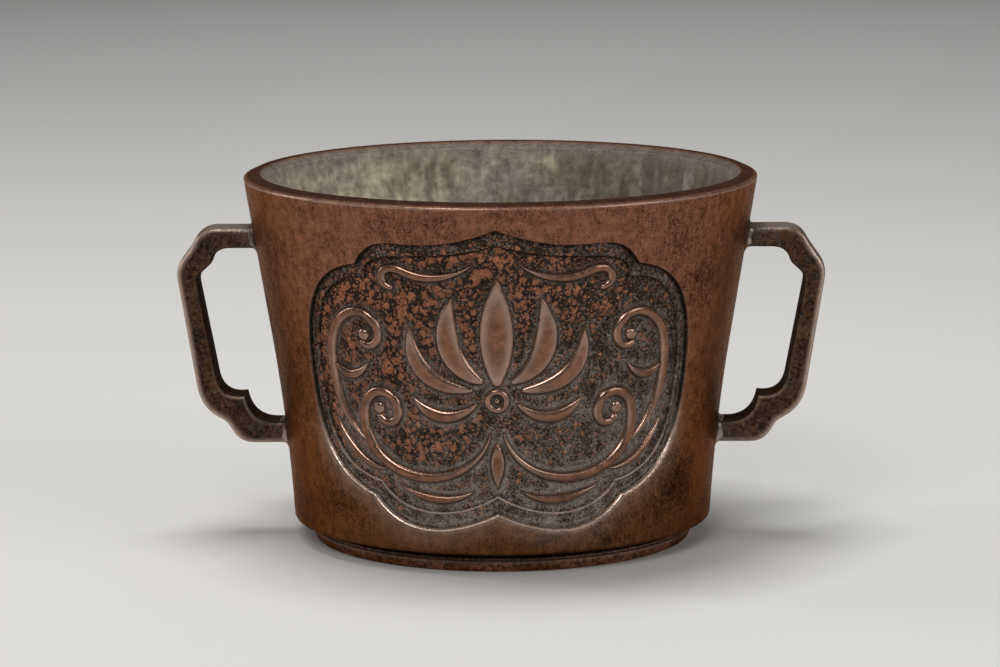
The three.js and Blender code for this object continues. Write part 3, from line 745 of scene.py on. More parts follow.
def stroke_patch(vessel, stroke, side):
    """A plump stroke with a concave foot, carried along its centre line.

    Across the body the height goes with a power of a cosine. At each end the body closes in a half
    circle, and then the foot does, so the last ring is one point.
    """
    line, along = stroke.centre_line(side, 0.5)
    half = stroke.half_widths(np.linspace(0, 1, len(line)))
    peak = min(vessel.relief_height, 0.6 * stroke.width)
    body_turn, foot_turn = np.linspace(0, np.pi / 2, 6)[1:], np.linspace(0, np.pi / 2, 5)[1:]

    def cap(place, sign):
        """The stations beyond one end: centre, direction, half width, the half width that sets the
        height, swell, reach of the foot, and distance past the closed body."""
        end = half[place]
        none, past = np.zeros(len(foot_turn)), FLARE * np.sin(foot_turn)
        forward = np.concatenate([end * np.sin(body_turn), end + past])
        return [line[place] + sign * along[place] * forward[:, None],
                np.repeat(along[place][None], len(forward), axis=0),
                np.concatenate([end * np.cos(body_turn), none]),
                np.full(len(forward), end),
                np.concatenate([np.cos(body_turn) ** 0.6, none]),
                np.concatenate([np.full(len(body_turn), FLARE), FLARE * np.cos(foot_turn)]),
                np.concatenate([0 * body_turn, past])]

    ones = np.ones(len(line))
    body = [line, along, half, half, ones, FLARE * ones, 0 * ones]
    stations = zip(cap(0, -1), body, cap(-1, 1))
    centre, along, half, size, swell, reach, beyond = (
        np.concatenate([first[::-1], middle, last]) for first, middle, last in stations)
    half, reach, beyond = half[:, None], reach[:, None], beyond[:, None]
    rise = (peak - FOOT_HEIGHT) * swell * np.minimum(2 * size / stroke.width, 1) ** 0.45

    turn = np.linspace(-np.pi / 2, np.pi / 2, 17)
    across_body = half * np.sin(turn)
    body_height = FOOT_HEIGHT + rise[:, None] * np.abs(np.cos(turn)) ** 0.95
    body_height = np.where(beyond > 0, flare_height(beyond), body_height)
    flare = half + reach * FLARE_SHARES
    flare_away = np.hypot(reach * FLARE_SHARES, beyond)
    foot = flare_height(flare_away)
    closed = reach < 1e-9
    root, root_reach = np.where(closed, flare_height(FLARE), -SUNK_ROOT), 0.9 * flare[:, -1:]

    lateral = np.concatenate([-flare[:, ::-1], across_body, flare, root_reach, -root_reach], axis=1)
    height = np.concatenate([foot[:, ::-1], body_height, foot, root, root], axis=1)
    beside = np.stack([-along[:, 1], along[:, 0]], axis=1)
    drawing = centre[:, None, :] + lateral[..., None] * beside[:, None, :]
    away = np.concatenate([flare_away[:, ::-1], np.broadcast_to(beyond, body_height.shape),
                           flare_away, flare_away[:, -1:], flare_away[:, -1:]], axis=1)
    return relief_patch(vessel, drawing, height, peak, away)


def boss_patch(vessel, centre, radii, heights, radius):
    """A round boss from a profile of radii and heights above the ground, turned about its centre. It
    gets the same foot as a stroke."""
    turn = full_turn(40)
    foot = radius + FLARE * FLARE_SHARES
    radii = np.concatenate([radii, foot, [0.9 * foot[-1], 0]])[:, None]
    heights = np.concatenate([heights, flare_height(foot - radius), [-SUNK_ROOT, -SUNK_ROOT]])[:, None]
    drawing = np.stack([centre[0] + radii * np.sin(turn), centre[1] + radii * np.cos(turn)], axis=-1)
    away = np.maximum(radii - radius, 0)
    return relief_patch(vessel, drawing, heights + 0 * turn, vessel.relief_height, away)


def relief_patch(vessel, drawing, height, peak, away):
    """Points laid at their height above the panel, with masks for the smooth crown, the wear and painted
    highlight along its shoulders, the deposit at its foot, painted shade where the body meets its foot,
    and the ground's blotches."""
    crown = np.clip((height - FOOT_HEIGHT) / (peak - FOOT_HEIGHT), 0, 1)
    return Patch(
        vessel.laid(drawing, height - vessel.panel_depth),
        ground=1.0,
        crown=smoothstep(crown, 0.0, 0.28),
        # Wear with painted glints on the shoulders.
        rub=hill(crown, 0.6, 0.25),
        dust=(1 - smoothstep(crown, 0.02, 0.2)) * thinning(away),
        # Painted shade where the stroke's body meets its foot.
        grime=0.8 * hill(height, FOOT_HEIGHT, 0.12),
        rusty=rust_share(drawing),
    )


def relief_patches(vessel):
    """All strokes, the domed buds, and the pod, a rounded ring with a low pip in it."""
    patches = [stroke_patch(vessel, stroke, side) for stroke in STROKES for side in stroke.sides]
    turn = np.linspace(0, np.pi / 2, 8)
    dome = np.cos(turn) ** 0.7
    peak = 0.85 * vessel.relief_height
    domed = FOOT_HEIGHT + (peak - FOOT_HEIGHT) * dome
    for across, up, radius in BUDS:
        patches.append(boss_patch(vessel, (across, up), radius * np.sin(turn), domed, radius))
    hollow = POD_RADIUS - POD_WALL
    pip, pip_height, hollow_height = 0.5 * hollow, 0.5 * vessel.relief_height, 0.1
    ring_turn = np.linspace(-np.pi / 2, np.pi / 2, 13)
    radii = np.concatenate([pip * np.sin(turn), hollow + POD_WALL / 2 * (1 + np.sin(ring_turn))])
    heights = np.concatenate([
        hollow_height + pip_height * dome,
        hollow_height + (peak - hollow_height) * np.abs(np.cos(ring_turn)) ** 0.7])
    heights[-1] = FOOT_HEIGHT
    patches.append(boss_patch(vessel, POD_CENTRE, radii, heights, POD_RADIUS))
    return patches


# Handles

# The tip of the tooth inside the lower bend: in from the grip's outer line, and up from the lower bar.
TOOTH_INWARD, TOOTH_RISE = 16.6, 6.6
# How far the straps' ends are hidden in the wall, and how far their flat faces swell.
STRAP_HIDDEN, STRAP_SWELL = 1.2, 0.12


def bars(handle):
    """Name, underside and top of the handle's two bars."""
    return (("upper", handle["upper_top"] - handle["upper_thickness"], handle["upper_top"]),
            ("lower", handle["lower_foot"], handle["lower_foot"] + handle["lower_thickness"]))


def handle_sides(vessel, handle):
    """The handle's outer and inner outline in the XZ plane as matched points.

    Corners are placed in from the grip's outer line, and down from the upper bar or up from the lower
    one. Each stretch has a number of points, and pairs a run of Bezier curves of the outer outline with
    a run of the inner one.
    """
    (_, top_gap, top), (_, foot, foot_gap) = bars(handle)

    def at(inward, level):
        return handle["reach"] - inward, level

    def root(level):
        return vessel.radius(level) - STRAP_HIDDEN, level

    stretches = (
        (24, [[root(top), at(9.9, top)]], [[root(top_gap), at(13.2, top_gap)]]),
        (24, [[at(9.9, top), at(5.7, top), at(4.3, top - 3.5)]],
         [[at(13.2, top_gap), at(9.4, top_gap), at(8.6, top_gap - 3.9)]]),
        (16, [[at(4.3, top - 3.5), at(3.1, top - 5.3)], [at(3.1, top - 5.3), at(1, top - 8.2)]],
         [[at(8.6, top_gap - 3.9), at(6.8, top_gap - 5.5)]]),
        (16, [[at(1, top - 8.2), at(-0.2, top - 10), at(0.1, top - 12.6)]],
         [[at(6.8, top_gap - 5.5), at(5.1, top_gap - 6.9), at(5.3, top_gap - 9)]]),
        (34, [[at(0.1, top - 12.6), at(4.4, foot + 14.5)]],
         [[at(5.3, top_gap - 9), at(9.5, foot_gap + 12)]]),
        (30, [[at(4.4, foot + 14.5), at(5.3, foot + 8.9), at(9.3, foot + 6.6)],
              [at(9.3, foot + 6.6), at(11.8, foot + 5.2)]],
         [[at(9.5, foot_gap + 12), at(10.1, foot_gap + 7.3), at(12.8, foot_gap + 6),
           at(TOOTH_INWARD, foot_gap + TOOTH_RISE)]]),
        (26, [[at(11.8, foot + 5.2), at(13.2, foot + 3)],
              [at(13.2, foot + 3), at(14.8, foot), at(18.3, foot)]],
         [[at(TOOTH_INWARD, foot_gap + TOOTH_RISE), at(17.6, foot_gap + 0.6), at(23, foot_gap)]]),
        (16, [[at(18.3, foot), root(foot)]], [[at(23, foot_gap), root(foot_gap)]]),
    )
    return [np.concatenate([evenly(chained(stretch[side]), stretch[0])[(i > 0):]
                            for i, stretch in enumerate(stretches)]) for side in (1, 2)]


def softened(line, *kept):
    """Six times over, moves each point half way to the middle of its neighbours, except both ends and
    the kept places."""
    held = np.zeros(len(line), bool)
    held[[0, -1, *kept]] = True
    for _ in range(6):
        calm = line.copy()
        calm[1:-1] = (line[:-2] + 2 * line[1:-1] + line[2:]) / 4
        line = np.where(held[:, None], line, calm)
    return line


def strap_ring(handle):
    """Once round the strap's section, from the inner corner in front.

    Returns for each point its share of the way from the inner to the outer outline, a further shift that
    way, its depth, and how far it is rubbed and carries a painted highlight. Corners are quarter circles.
    The inner and the outer face swell with one less the square of the share of their half width.
    """
    half, outer, inner = handle["depth"] / 2, handle["outer_rounding"], handle["inner_rounding"]
    turn = np.linspace(0, np.pi / 2, 7)
    share = np.linspace(0, 1, 9)[1:-1]
    across = 2 * share - 1
    inner_rub, outer_rub = 0.06, 0.1

    def corner(side, radius, sign, rub):
        shift = sign * (STRAP_SWELL + radius * (1 - np.cos(turn)))
        return np.stack([side + 0 * turn, shift, half - radius * (1 - np.sin(turn)), rub + 0 * turn])

    def face(depth_sign):
        shift = (inner + STRAP_SWELL) * (1 - share) - (outer + STRAP_SWELL) * share
        return np.stack([share, shift, half * depth_sign + 0 * share, 0 * share])

    def swelling_face(side, radius, sign, rub):
        shift = -sign * STRAP_SWELL * across ** 2
        return np.stack([side + 0 * share, shift, sign * across * (half - radius), rub + 0 * share])

    inner_corner = corner(0, inner, 1, inner_rub)
    # The outer corner's wear carries a painted highlight along its rounding.
    outer_corner = corner(1, outer, -1, np.sin(2 * turn) ** 2 + 0.3 * np.sin(turn) ** 2)
    front = np.array([1, 1, -1, 1])[:, None]
    return np.concatenate([
        inner_corner * front, face(-1), outer_corner[:, ::-1] * front,
        swelling_face(1, outer, 1, outer_rub), outer_corner, face(1)[:, ::-1], inner_corner[:, ::-1],
        swelling_face(0, inner, -1, 0),
    ], axis=1)


def strap_patch(vessel, handle):
    """The right handle's strap: its ring carried along the matched outlines, with both ends drawn to one
    point inside the wall.

    Its edges are rubbed and carry painted highlights, least on the upper bar, and so is the tooth. The
    upper bar's top is grey, partly as painted light, the faces inside the loop are painted with shade,
    and near the solder the metal is tinned.
    """
    outer, inner = handle_sides(vessel, handle)
    tooth = np.array([handle["reach"] - TOOTH_INWARD,
                      handle["lower_foot"] + handle["lower_thickness"] + TOOTH_RISE])
    cusp = int(np.argmin(np.hypot(*(inner - tooth).T)))
    outer, inner = softened(outer), softened(inner, cusp)
    span = outer - inner
    unit = span / np.hypot(*span.T)[:, None]
    share, shift, depth, rub = strap_ring(handle)
    plane = inner[:, None] + span[:, None] * share[:, None] + unit[:, None] * shift[:, None]
    crown = 1 - 0.02 * (2 * share - 1) ** 2
    points = np.stack(np.broadcast_arrays(plane[..., 0], depth * crown, plane[..., 1]), axis=-1)
    ends = points[[0, -1]].mean(axis=1, keepdims=True).repeat(points.shape[1], axis=1)
    points = np.concatenate([ends[:1], points, ends[1:]])

    along = np.linspace(0, 1, len(points))[:, None]
    on_upper_bar = 1 - smoothstep(along, 0.18, 0.26)
    from_side = handle["depth"] / 2 - np.abs(depth)
    inside_loop = share < 0.01
    # Painted shade on the faces inside the loop.
    reveal = inside_loop * smoothstep(from_side, 0.1, 0.45)
    from_tooth = np.linalg.norm(points - [tooth[0], 0, tooth[1]], axis=-1)
    tooth_rub = hill(from_tooth, 0.0, 7.0) * inside_loop * (1 - reveal)
    return Patch(
        points,
        rub=np.clip(rub * (1 - 0.75 * on_upper_bar) + 0.6 * tooth_rub, 0, 1),
        # Grey on the upper bar's top face, partly painted light that it catches.
        dust=((share > 0.99) & (from_side > 0.4)) * on_upper_bar,
        grime=reveal,
        tin=hill(along, 0.0, 0.14) + hill(along, 1.0, 0.1),
    )


def soft_rectangle(half_width, half_height, count=40):
    """A superellipse of power 5, [sideways, up]: cosine and sine, each to the power of two fifths with
    its sign kept, times the half sizes."""
    turn = full_turn(count)
    wave = np.stack([np.cos(turn), np.sin(turn)], axis=1)
    return np.sign(wave) * np.abs(wave) ** 0.4 * [half_width, half_height]


def tenon_patch(vessel, level):
    """A tenon through the wall whose end is hammered to a low head inside the bowl. Its sections are
    soft rectangles at distances from the bore's surface: the head's grow from its middle to the
    overhang, and the shank's go on to just under the wall's outside."""
    width, height, overhang, thickness = 3.0, 1.4, 0.9, 0.9
    shank_end = vessel.thickness - 0.2
    head = (
        (-thickness, 0, 0), (-0.97 * thickness, 0.45, 0.35), (-0.85 * thickness, 0.75, 0.65),
        (-0.6 * thickness, 0.93, 0.88), (-0.3 * thickness, 1, 1), (0.3, 1, 1),
    )
    stations = [(offset, wide * (width + overhang), tall * (height + overhang))
                for offset, wide, tall in head]
    stations += [(0.35, width, height), (shank_end, width, height), (shank_end, 0, 0)]
    section = np.array([soft_rectangle(wide, tall) for _, wide, tall in stations])
    offset = np.array([offset for offset, _, _ in stations])[:, None]
    x = vessel.bore(level) + offset + section[..., 1] * vessel.taper
    points = np.stack([x, section[..., 0], level + section[..., 1]], axis=-1)
    return Patch(points, rub=0.3 * hill(offset, -thickness, 0.5), grime=hill(offset, 0, 0.3), bore=1.0)


def collar_patch(vessel, handle, low, high):
    """Solder run into the corner between a strap's end and the wall.

    A hollow curve from the wall up to the strap, closed behind, is carried round the strap's section.
    Its width wavers a little, as solder does, with two sine waves round the section.
    """
    around, overlap, buried, slant = 120, 0.05, 0.5, 0.25
    width, rise_on_strap = handle["collar_width"], handle["collar_rise"]
    rim = soft_rectangle(handle["depth"] / 2 - overlap, (high - low) / 2 - overlap, around)
    rim = evenly(np.concatenate([rim, rim[:1]]), around + 1)[:-1]
    along = np.roll(rim, -1, axis=0) - np.roll(rim, 1, axis=0)
    out = np.stack([along[:, 1], -along[:, 0]], axis=1) / np.hypot(*along.T)[:, None]
    turn = full_turn(around)
    waver = 1 + 0.12 * np.sin(3 * turn + low) + 0.07 * np.sin(7 * turn + high)
    face = bezier([(width, 0.0), (0.25, 0.1), (0.0, rise_on_strap)], np.linspace(0, 1, 12))
    behind = [(-buried, rise_on_strap - slant), (-buried, -buried), (width - slant, -buried)]
    profile = np.concatenate([face, behind, face[:1]])
    sideways = rim + out * (profile[:, :1, None] * waver[:, None])
    rise = profile[:, 1:] * waver
    level = (low + high) / 2 + sideways[..., 1]
    x = np.sqrt(vessel.radius(level) ** 2 - sideways[..., 0] ** 2) + rise
    points = np.stack([x, sideways[..., 0], level], axis=-1)
    outwards = profile[:, :1] / width
    # Darker at the edge on the wall, and wear with painted glints near the strap.
    return Patch(points, grime=hill(outwards, 1.0, 0.15), rub=hill(outwards, 0.25, 0.3))


# Foot ring and floor plate

def foot_patch(foot):
    """The foot ring turned from its closed profile: a level underside, a face that swells out to its
    middle and draws in again under the wall, and the register that stands inside the wall. Its swell is
    greyed and rubbed, partly as a painted highlight, and painted shadow lies where it runs in under the
    wall."""
    height, swell = foot["band_height"], 0.45 * foot["band_height"]
    top_radius, bore, register = foot["top_radius"], foot["bore_radius"], foot["register_radius"]
    register_top = foot_high.z / MM
    seam = bore + 1.5, 0
    profile = rounded([
        seam, (foot["base_radius"], 0), (top_radius, swell), (top_radius - 0.1, swell + 0.8),
        (top_radius - 0.45, height - 0.4), (top_radius - 0.6, height), (register, height),
        (register, register_top), (bore, register_top), (bore, 0), seam,
    ], [0.45, 0.8, 0.5, 0.2, 0.15, 0.1, 0.2, 0.2, 0.5])
    profile[:, 0] = np.minimum(profile[:, 0], top_radius)
    profile = closer(profile, 0.6)
    radius, level = profile[:, :1], profile[:, 1:]
    facing_out = smoothstep(radius, register + 0.1, register + 0.25)
    return Patch(
        turned(profile, full_turn(288)),
        # Grey and rub paint a highlight where the face turns up above the swell. The dark band is painted
        # shadow under the wall's overhang.
        dust=facing_out * 0.5 * hill(level, swell + 0.5, 0.7),
        rub=facing_out * 0.3 * hill(level, swell + 0.3, 0.5),
        grime=facing_out * smoothstep(level, 2.9, 3.4),
    )


def plate_patch(foot):
    """The floor plate turned from its profile between two poles: a flange in the wall's rebate and a
    plug whose upper face dips a little to its middle. It is darker round the plug's edge."""
    low, high, dip = plate_low.z / MM, plate_high.z / MM, 0.4
    flange_top = low + foot["plate_flange"]
    flange, plug = plate_high.x / MM, foot["plate_plug_radius"] + 0.25
    profile = rounded([
        (0, low), (flange, low), (flange, flange_top), (plug, flange_top), (plug, high),
        (plug * 0.8, high), (0, high - dip),
    ], [0.3, 0.3, 0.2, 0.6, 8])
    profile = closer(profile, 2.0)
    radius, level = profile[:, :1], profile[:, 1:]
    return Patch(turned(profile, full_turn(240)),
                 grime=(level > flange_top + 0.1) * smoothstep(radius, plug - 3, plug))


# Patina

class Wire:
    """A socket in a material's nodes. Arithmetic on it adds Math nodes."""

    def __init__(self, patina, socket):
        self.patina, self.socket = patina, socket

    def __add__(self, other):
        return self.patina.math("ADD", self, other)

    def __sub__(self, other):
        return self.patina.math("SUBTRACT", self, other)

    def __rsub__(self, other):
        return self.patina.math("SUBTRACT", other, self)

    def __mul__(self, other):
        return self.patina.math("MULTIPLY", self, other)

    __radd__, __rmul__ = __add__, __mul__

    def clear_of(self, low, high):
        """A soft mask: 0 below low and 1 above high."""
        return self.patina.node("MapRange", {"interpolation_type": "SMOOTHSTEP"},
                                {"Value": self, "From Min": low, "From Max": high})

    def at_most(self, other):
        return self.patina.math("MINIMUM", self, other)

    def at_least(self, other):
        return self.patina.math("MAXIMUM", self, other)


class Patina:
    """One procedural material. Its patterns are in millimetres on Object coordinates."""

    def __init__(self, name):
        self.material = bpy.data.materials.new(name)
        self.material.use_nodes = True
        self.tree = self.material.node_tree
        self.tree.nodes.clear()
        coordinates = self.node("TexCoord", output="Object")
        self.spot = self.shade(coordinates, 1 / MM)

    def node(self, kind, settings=None, values=None, output=0):
        """Adds a node, with its settings first and then its sockets' values or links."""
        added = self.tree.nodes.new("ShaderNode" + kind)
        for key, value in (settings or {}).items():
            setattr(added, key, value)
        for key, value in (values or {}).items():
            socket = added.inputs[key]
            if isinstance(value, Wire):
                self.tree.links.new(value.socket, socket)
            elif hasattr(socket.default_value, "__len__") and len(value) < len(socket.default_value):
                socket.default_value = (*value, 1.0)
            else:
                socket.default_value = value
        return Wire(self, added.outputs[output]) if added.outputs else None

    def math(self, operation, first, second):
        return self.node("Math", {"operation": operation}, {0: first, 1: second})

    def masks(self, *names):
        """The piece's own values of those names."""
        return [self.node("Attribute", {"attribute_name": name}, output="Fac") for name in names]

    def along(self, axis):
        """Millimetres along X, Y or Z."""
        return self.node("SeparateXYZ", {}, {0: self.spot}, output=axis)

    def stretched(self, *scale):
        """The pattern's coordinates, scaled by an amount for each axis."""
        return self.node("VectorMath", {"operation": "MULTIPLY"}, {0: self.spot, 1: scale})

    def noise(self, scale, detail=2.0, roughness=0.5, vector=None, distortion=0.0):
        """Clouds between 0 and 1, about 1 / scale millimetres wide."""
        return self.node("TexNoise", {}, {"Vector": vector or self.spot, "Scale": scale, "Detail": detail,
                                          "Roughness": roughness, "Distortion": distortion})

    def cells(self, scale, vector):
        """Distance to the nearest of scattered points, in steps of 1 / scale millimetres."""
        return self.node("TexVoronoi", {}, {"Vector": vector, "Scale": scale})

    def mix(self, share, first, second):
        """The first colour, with a share of the second in its place."""
        return self.node("Mix", {"data_type": "RGBA"}, {0: share, 6: first, 7: second}, output=2)

    def shade(self, colour, amount):
        """The colour made lighter or darker: each of its parts times an amount around 1."""
        return self.node("VectorMath", {"operation": "SCALE"}, {0: colour, "Scale": amount})

    def bump(self, height, distance, normal=None):
        """The normal over a height from 0 to 1 that stands for a distance in millimetres."""
        values = {"Strength": 1.0, "Distance": distance * MM, "Height": height}
        if normal:
            values["Normal"] = normal
        return self.node("Bump", {}, values)

    def finish(self, colour, roughness, metallic, normal, coat=0.0, matte=None):
        """The metal under a thin clear wax, and matte dirt in its place where that is given."""
        shader = self.node("BsdfPrincipled", {}, {
            "Base Color": colour, "Roughness": roughness, "Metallic": metallic, "Normal": normal,
            "Coat Weight": coat, "Coat Roughness": 0.14, "Coat IOR": 1.45,
            "Specular Tint": (0.58, 0.40, 0.29), "Specular IOR Level": 0.3,
        })
        if matte:
            dirt = self.node("BsdfDiffuse", {}, {"Color": colour, "Normal": normal})
            shader = self.node("MixShader", {}, {0: matte, 1: shader, 2: dirt})
        self.node("OutputMaterial", {}, {"Surface": shader})
        return self.material


def rubbed_skin(p, colours, mottle, grain, brushing):
    """The wall's outside: a warm brown that turns reddish higher up, and so is darker low down as painted
    shade, with fine upright brushing, dark specks and blackened blotches, and pale with wear and
    painted highlights where it is rubbed. Also says how far it is blackened."""
    rub, soot = p.masks("rub", "soot")
    # Umber low down and reddish brown higher up: random tone, with painted shade towards the foot.
    higher = 0.5 * p.noise(0.035, 3, 0.6) + 0.006 * p.along("Z")
    skin = p.mix(higher.clear_of(0.35, 0.75), colours.umber, colours.rubbed_brown)
    skin = p.shade(skin, 1.3 * brushing + 1.9 * mottle + 2.0 * grain - 1.55)
    specks = p.noise(2.1, 2, 0.5, p.stretched(1, 1, 0.7)) + 0.55 * p.noise(0.13, 2) + 0.1 * soot
    blotches = p.noise(1.5, 5, 0.8) + 0.21 * soot + 0.2 * p.noise(0.28, 2)
    dark = (0.6 * specks.clear_of(0.89, 1.01)).at_least(0.85 * blotches.clear_of(0.68, 0.82))
    skin = p.mix(dark, skin, colours.blackened)
    # Pale polished metal on rubbed places, with painted highlights on the lip and a painted sheen below
    # it.
    return p.mix((rub * (0.4 + mottle)).at_most(0.85), skin, colours.polish_and_highlight), dark


def blackened_ground(p, colours, mottle, grain):
    """The cartouche's ground: blackened, with grey flecks, reddish brown blotches in two sizes, and a
    grey powder that is thickest beside the relief and low down. Also gives the blotches and the powder.
    """
    rusty, dust, grime, rub = p.masks("rusty", "dust", "grime", "rub")
    clouds = p.noise(0.17, 3, 0.6)
    wander = p.node("TexNoise", {}, {"Vector": p.spot, "Scale": 1.6, "Detail": 2.0}, output="Color")
    ragged = p.node("VectorMath", {"operation": "ADD"}, {0: p.spot, 1: wander})
    small_blots = 0.17 + 0.24 * rusty + 0.5 * clouds - 0.3 * grain - p.cells(1.2, p.spot)
    large_blots = 0.02 + 0.34 * rusty + 0.6 * p.noise(0.3, 2) - 0.35 * grain - p.cells(0.5, ragged)
    rust = small_blots.clear_of(0, 0.2).at_least(large_blots.clear_of(0, 0.12)) * (1 - 0.7 * dust)
    flecks = (p.noise(1.2, 5, 0.8) + 0.3 * clouds - 0.12 * rusty).clear_of(0.55, 0.8)
    panel = p.mix(0.8 * flecks, colours.panel_dark, colours.panel_grey)
    panel = p.mix(0.9 * rust, panel, p.shade(colours.panel_rust, 2.4 * grain + 1.6 * mottle - 0.95))
    powder = p.noise(2.6, 3, 0.8) + 0.35 * p.noise(0.35, 2) + 0.2 * dust + 0.003 * (50 - p.along("Z"))
    powder = powder.clear_of(0.73, 0.96)
    panel = p.mix(0.9 * powder, panel, colours.dust)
    panel = p.shade(panel, 3.8 * p.noise(1.7, 5, 0.8) - 0.5)
    # Painted shade, with grime, in the groove, at the step's foot and at the strokes' foot.
    panel = p.mix(0.85 * grime, panel, colours.blackened)
    # Worn crests with painted highlights.
    return p.mix(0.55 * rub * (0.5 + grain).at_most(1.0), panel, colours.polish_and_highlight), rust, powder


def rubbed_strokes(p, colours, mottle, grain):
    """The relief: clouds of warm and of reddish brown, paler along the crown with wear and painted
    highlights.
    """
    rub, = p.masks("rub")
    stroke = p.mix(0.6 * p.noise(0.12, 2).clear_of(0.35, 0.65), colours.umber, colours.rubbed_brown)
    stroke = p.mix(0.4 * (mottle + 0.3 * grain).clear_of(0.5, 0.8), stroke, colours.panel_rust)
    # Polished metal for wear and painted highlights on the shoulders.
    return p.mix(0.3 * rub, p.shade(stroke, 1.4 * mottle + 0.7 * grain + 0.05), colours.polish_and_highlight)


def bowl_lining(p, colours, mottle, grain):
    """The bore: olive grey under pale veils, with mauve clouds, upright streaks, brown stains and a
    spotted band near the top. More veils at the left and more stains at the right paint light and shade
    across it, and painted shade darkens it under the rim."""
    grime, = p.masks("grime")
    side, level = p.along("X"), p.along("Z")
    streaks = p.noise(0.5, 4, 0.6, p.stretched(1, 1, 0.12))
    # More pale veils at the left: painted light on that side of the bore.
    veils = (p.noise(0.11, 3, 0.6, p.stretched(1, 1, 0.6)) - 0.0045 * side - 0.02).clear_of(0.38, 0.68)
    bowl = p.mix(veils, colours.bore_olive, colours.bore_pale)
    bowl = p.mix(0.8 * p.noise(0.07, 3, 0.6).clear_of(0.42, 0.62), bowl, colours.bore_mauve)
    bowl = p.shade(bowl, 0.45 * streaks + 2.1 * mottle - 0.28)
    # More stains at the right: painted shade on that side of the bore.
    stained = (p.noise(0.16, 3, 0.6, p.stretched(1, 1, 0.25)) + 0.0028 * side).clear_of(0.49, 0.67)
    bowl = p.mix(0.7 * stained, bowl, colours.bore_stain)
    band = p.shade(p.mix(grain.clear_of(0.5, 0.65), colours.bore_mauve, colours.bore_stain), 0.35 + mottle)
    bowl = p.mix(0.75 * (level + 6 * streaks).clear_of(87, 93), bowl, band)
    # Painted shade on the chamfer under the rim.
    return p.shade(bowl, 1 - 0.5 * grime)


def rim_slope(p, colours, mottle, grain, spotted):
    """The rim: dark brown with lighter spots, and wear with a painted highlight here and there along its
    edge.
    """
    rub, = p.masks("rub")
    # Wear with a painted highlight along the rim's edge.
    wear_and_highlight = 0.4 * rub * (0.2 + p.noise(0.06, 2).clear_of(0.35, 0.65))
    slope = p.mix(0.4 * spotted, colours.rim_brown, colours.umber)
    return p.mix(wear_and_highlight, p.shade(slope, mottle + 1.8 * grain - 0.15), colours.polish_and_highlight)


def wall_patina(colours):
    """The cast wall and its relief, joined by their masks from the skin, the cartouche's ground, the
    strokes, the bowl's lining and the rim. Ground and rim are dull, and rubbed places gleam under wax."""
    p = Patina("wall_patina")
    ground, crown, rub, bore, rim = p.masks("ground", "crown", "rub", "bore", "rim")
    brushing = p.noise(1.5, 4, 0.7, p.stretched(1, 1, 0.05))
    mottle, grain = p.noise(0.45, 4, 0.6), p.noise(2.6, 3, 0.6)
    spotted = (p.noise(1.6, 3, 0.7) + 0.2 * mottle).clear_of(0.55, 0.75)
    skin, dark = rubbed_skin(p, colours, mottle, grain, brushing)
    panel, rust, powder = blackened_ground(p, colours, mottle, grain)
    colour = p.mix(ground, skin, p.mix(crown, panel, rubbed_strokes(p, colours, mottle, grain)))
    colour = p.mix(bore, colour, bowl_lining(p, colours, mottle, grain))
    colour = p.mix(rim, colour, rim_slope(p, colours, mottle, grain, spotted))

    sunk, dull = ground * (1 - crown), rim * (1 - rub)
    rough = 0.3 + 0.12 * mottle + 0.15 * dark - 0.05 * rub * ground - 0.15 * crown - 0.08 * rub
    rough = rough + sunk * (0.1 + 0.2 * powder) + 0.3 * bore + 0.35 * dull
    metal = 0.92 + 0.06 * (dark + sunk).at_most(1.0)
    metal = metal * (1 - 0.75 * bore) * (1 - 0.6 * sunk * powder)
    normal = p.bump(0.4 * grain + 0.3 * brushing + 0.3 * p.noise(0.9, 3, 0.6), 0.1)
    normal = p.bump((1 - dark) * (1 - 0.6 * crown), 0.08, normal)
    normal = p.bump(sunk * (0.5 * rust + 0.8 * p.noise(1.7, 3, 0.7)), 0.4, normal)
    normal = p.bump(rim * (1 - spotted) * (1 - rub), 0.25, normal)
    coat = (0.02 + 0.25 * crown + 0.7 * rub) * (1 - sunk * (1 - rub)) * (1 - bore) * (1 - dull)
    return p.finish(colour, rough, metal, normal, coat, matte=0.8 * dull)


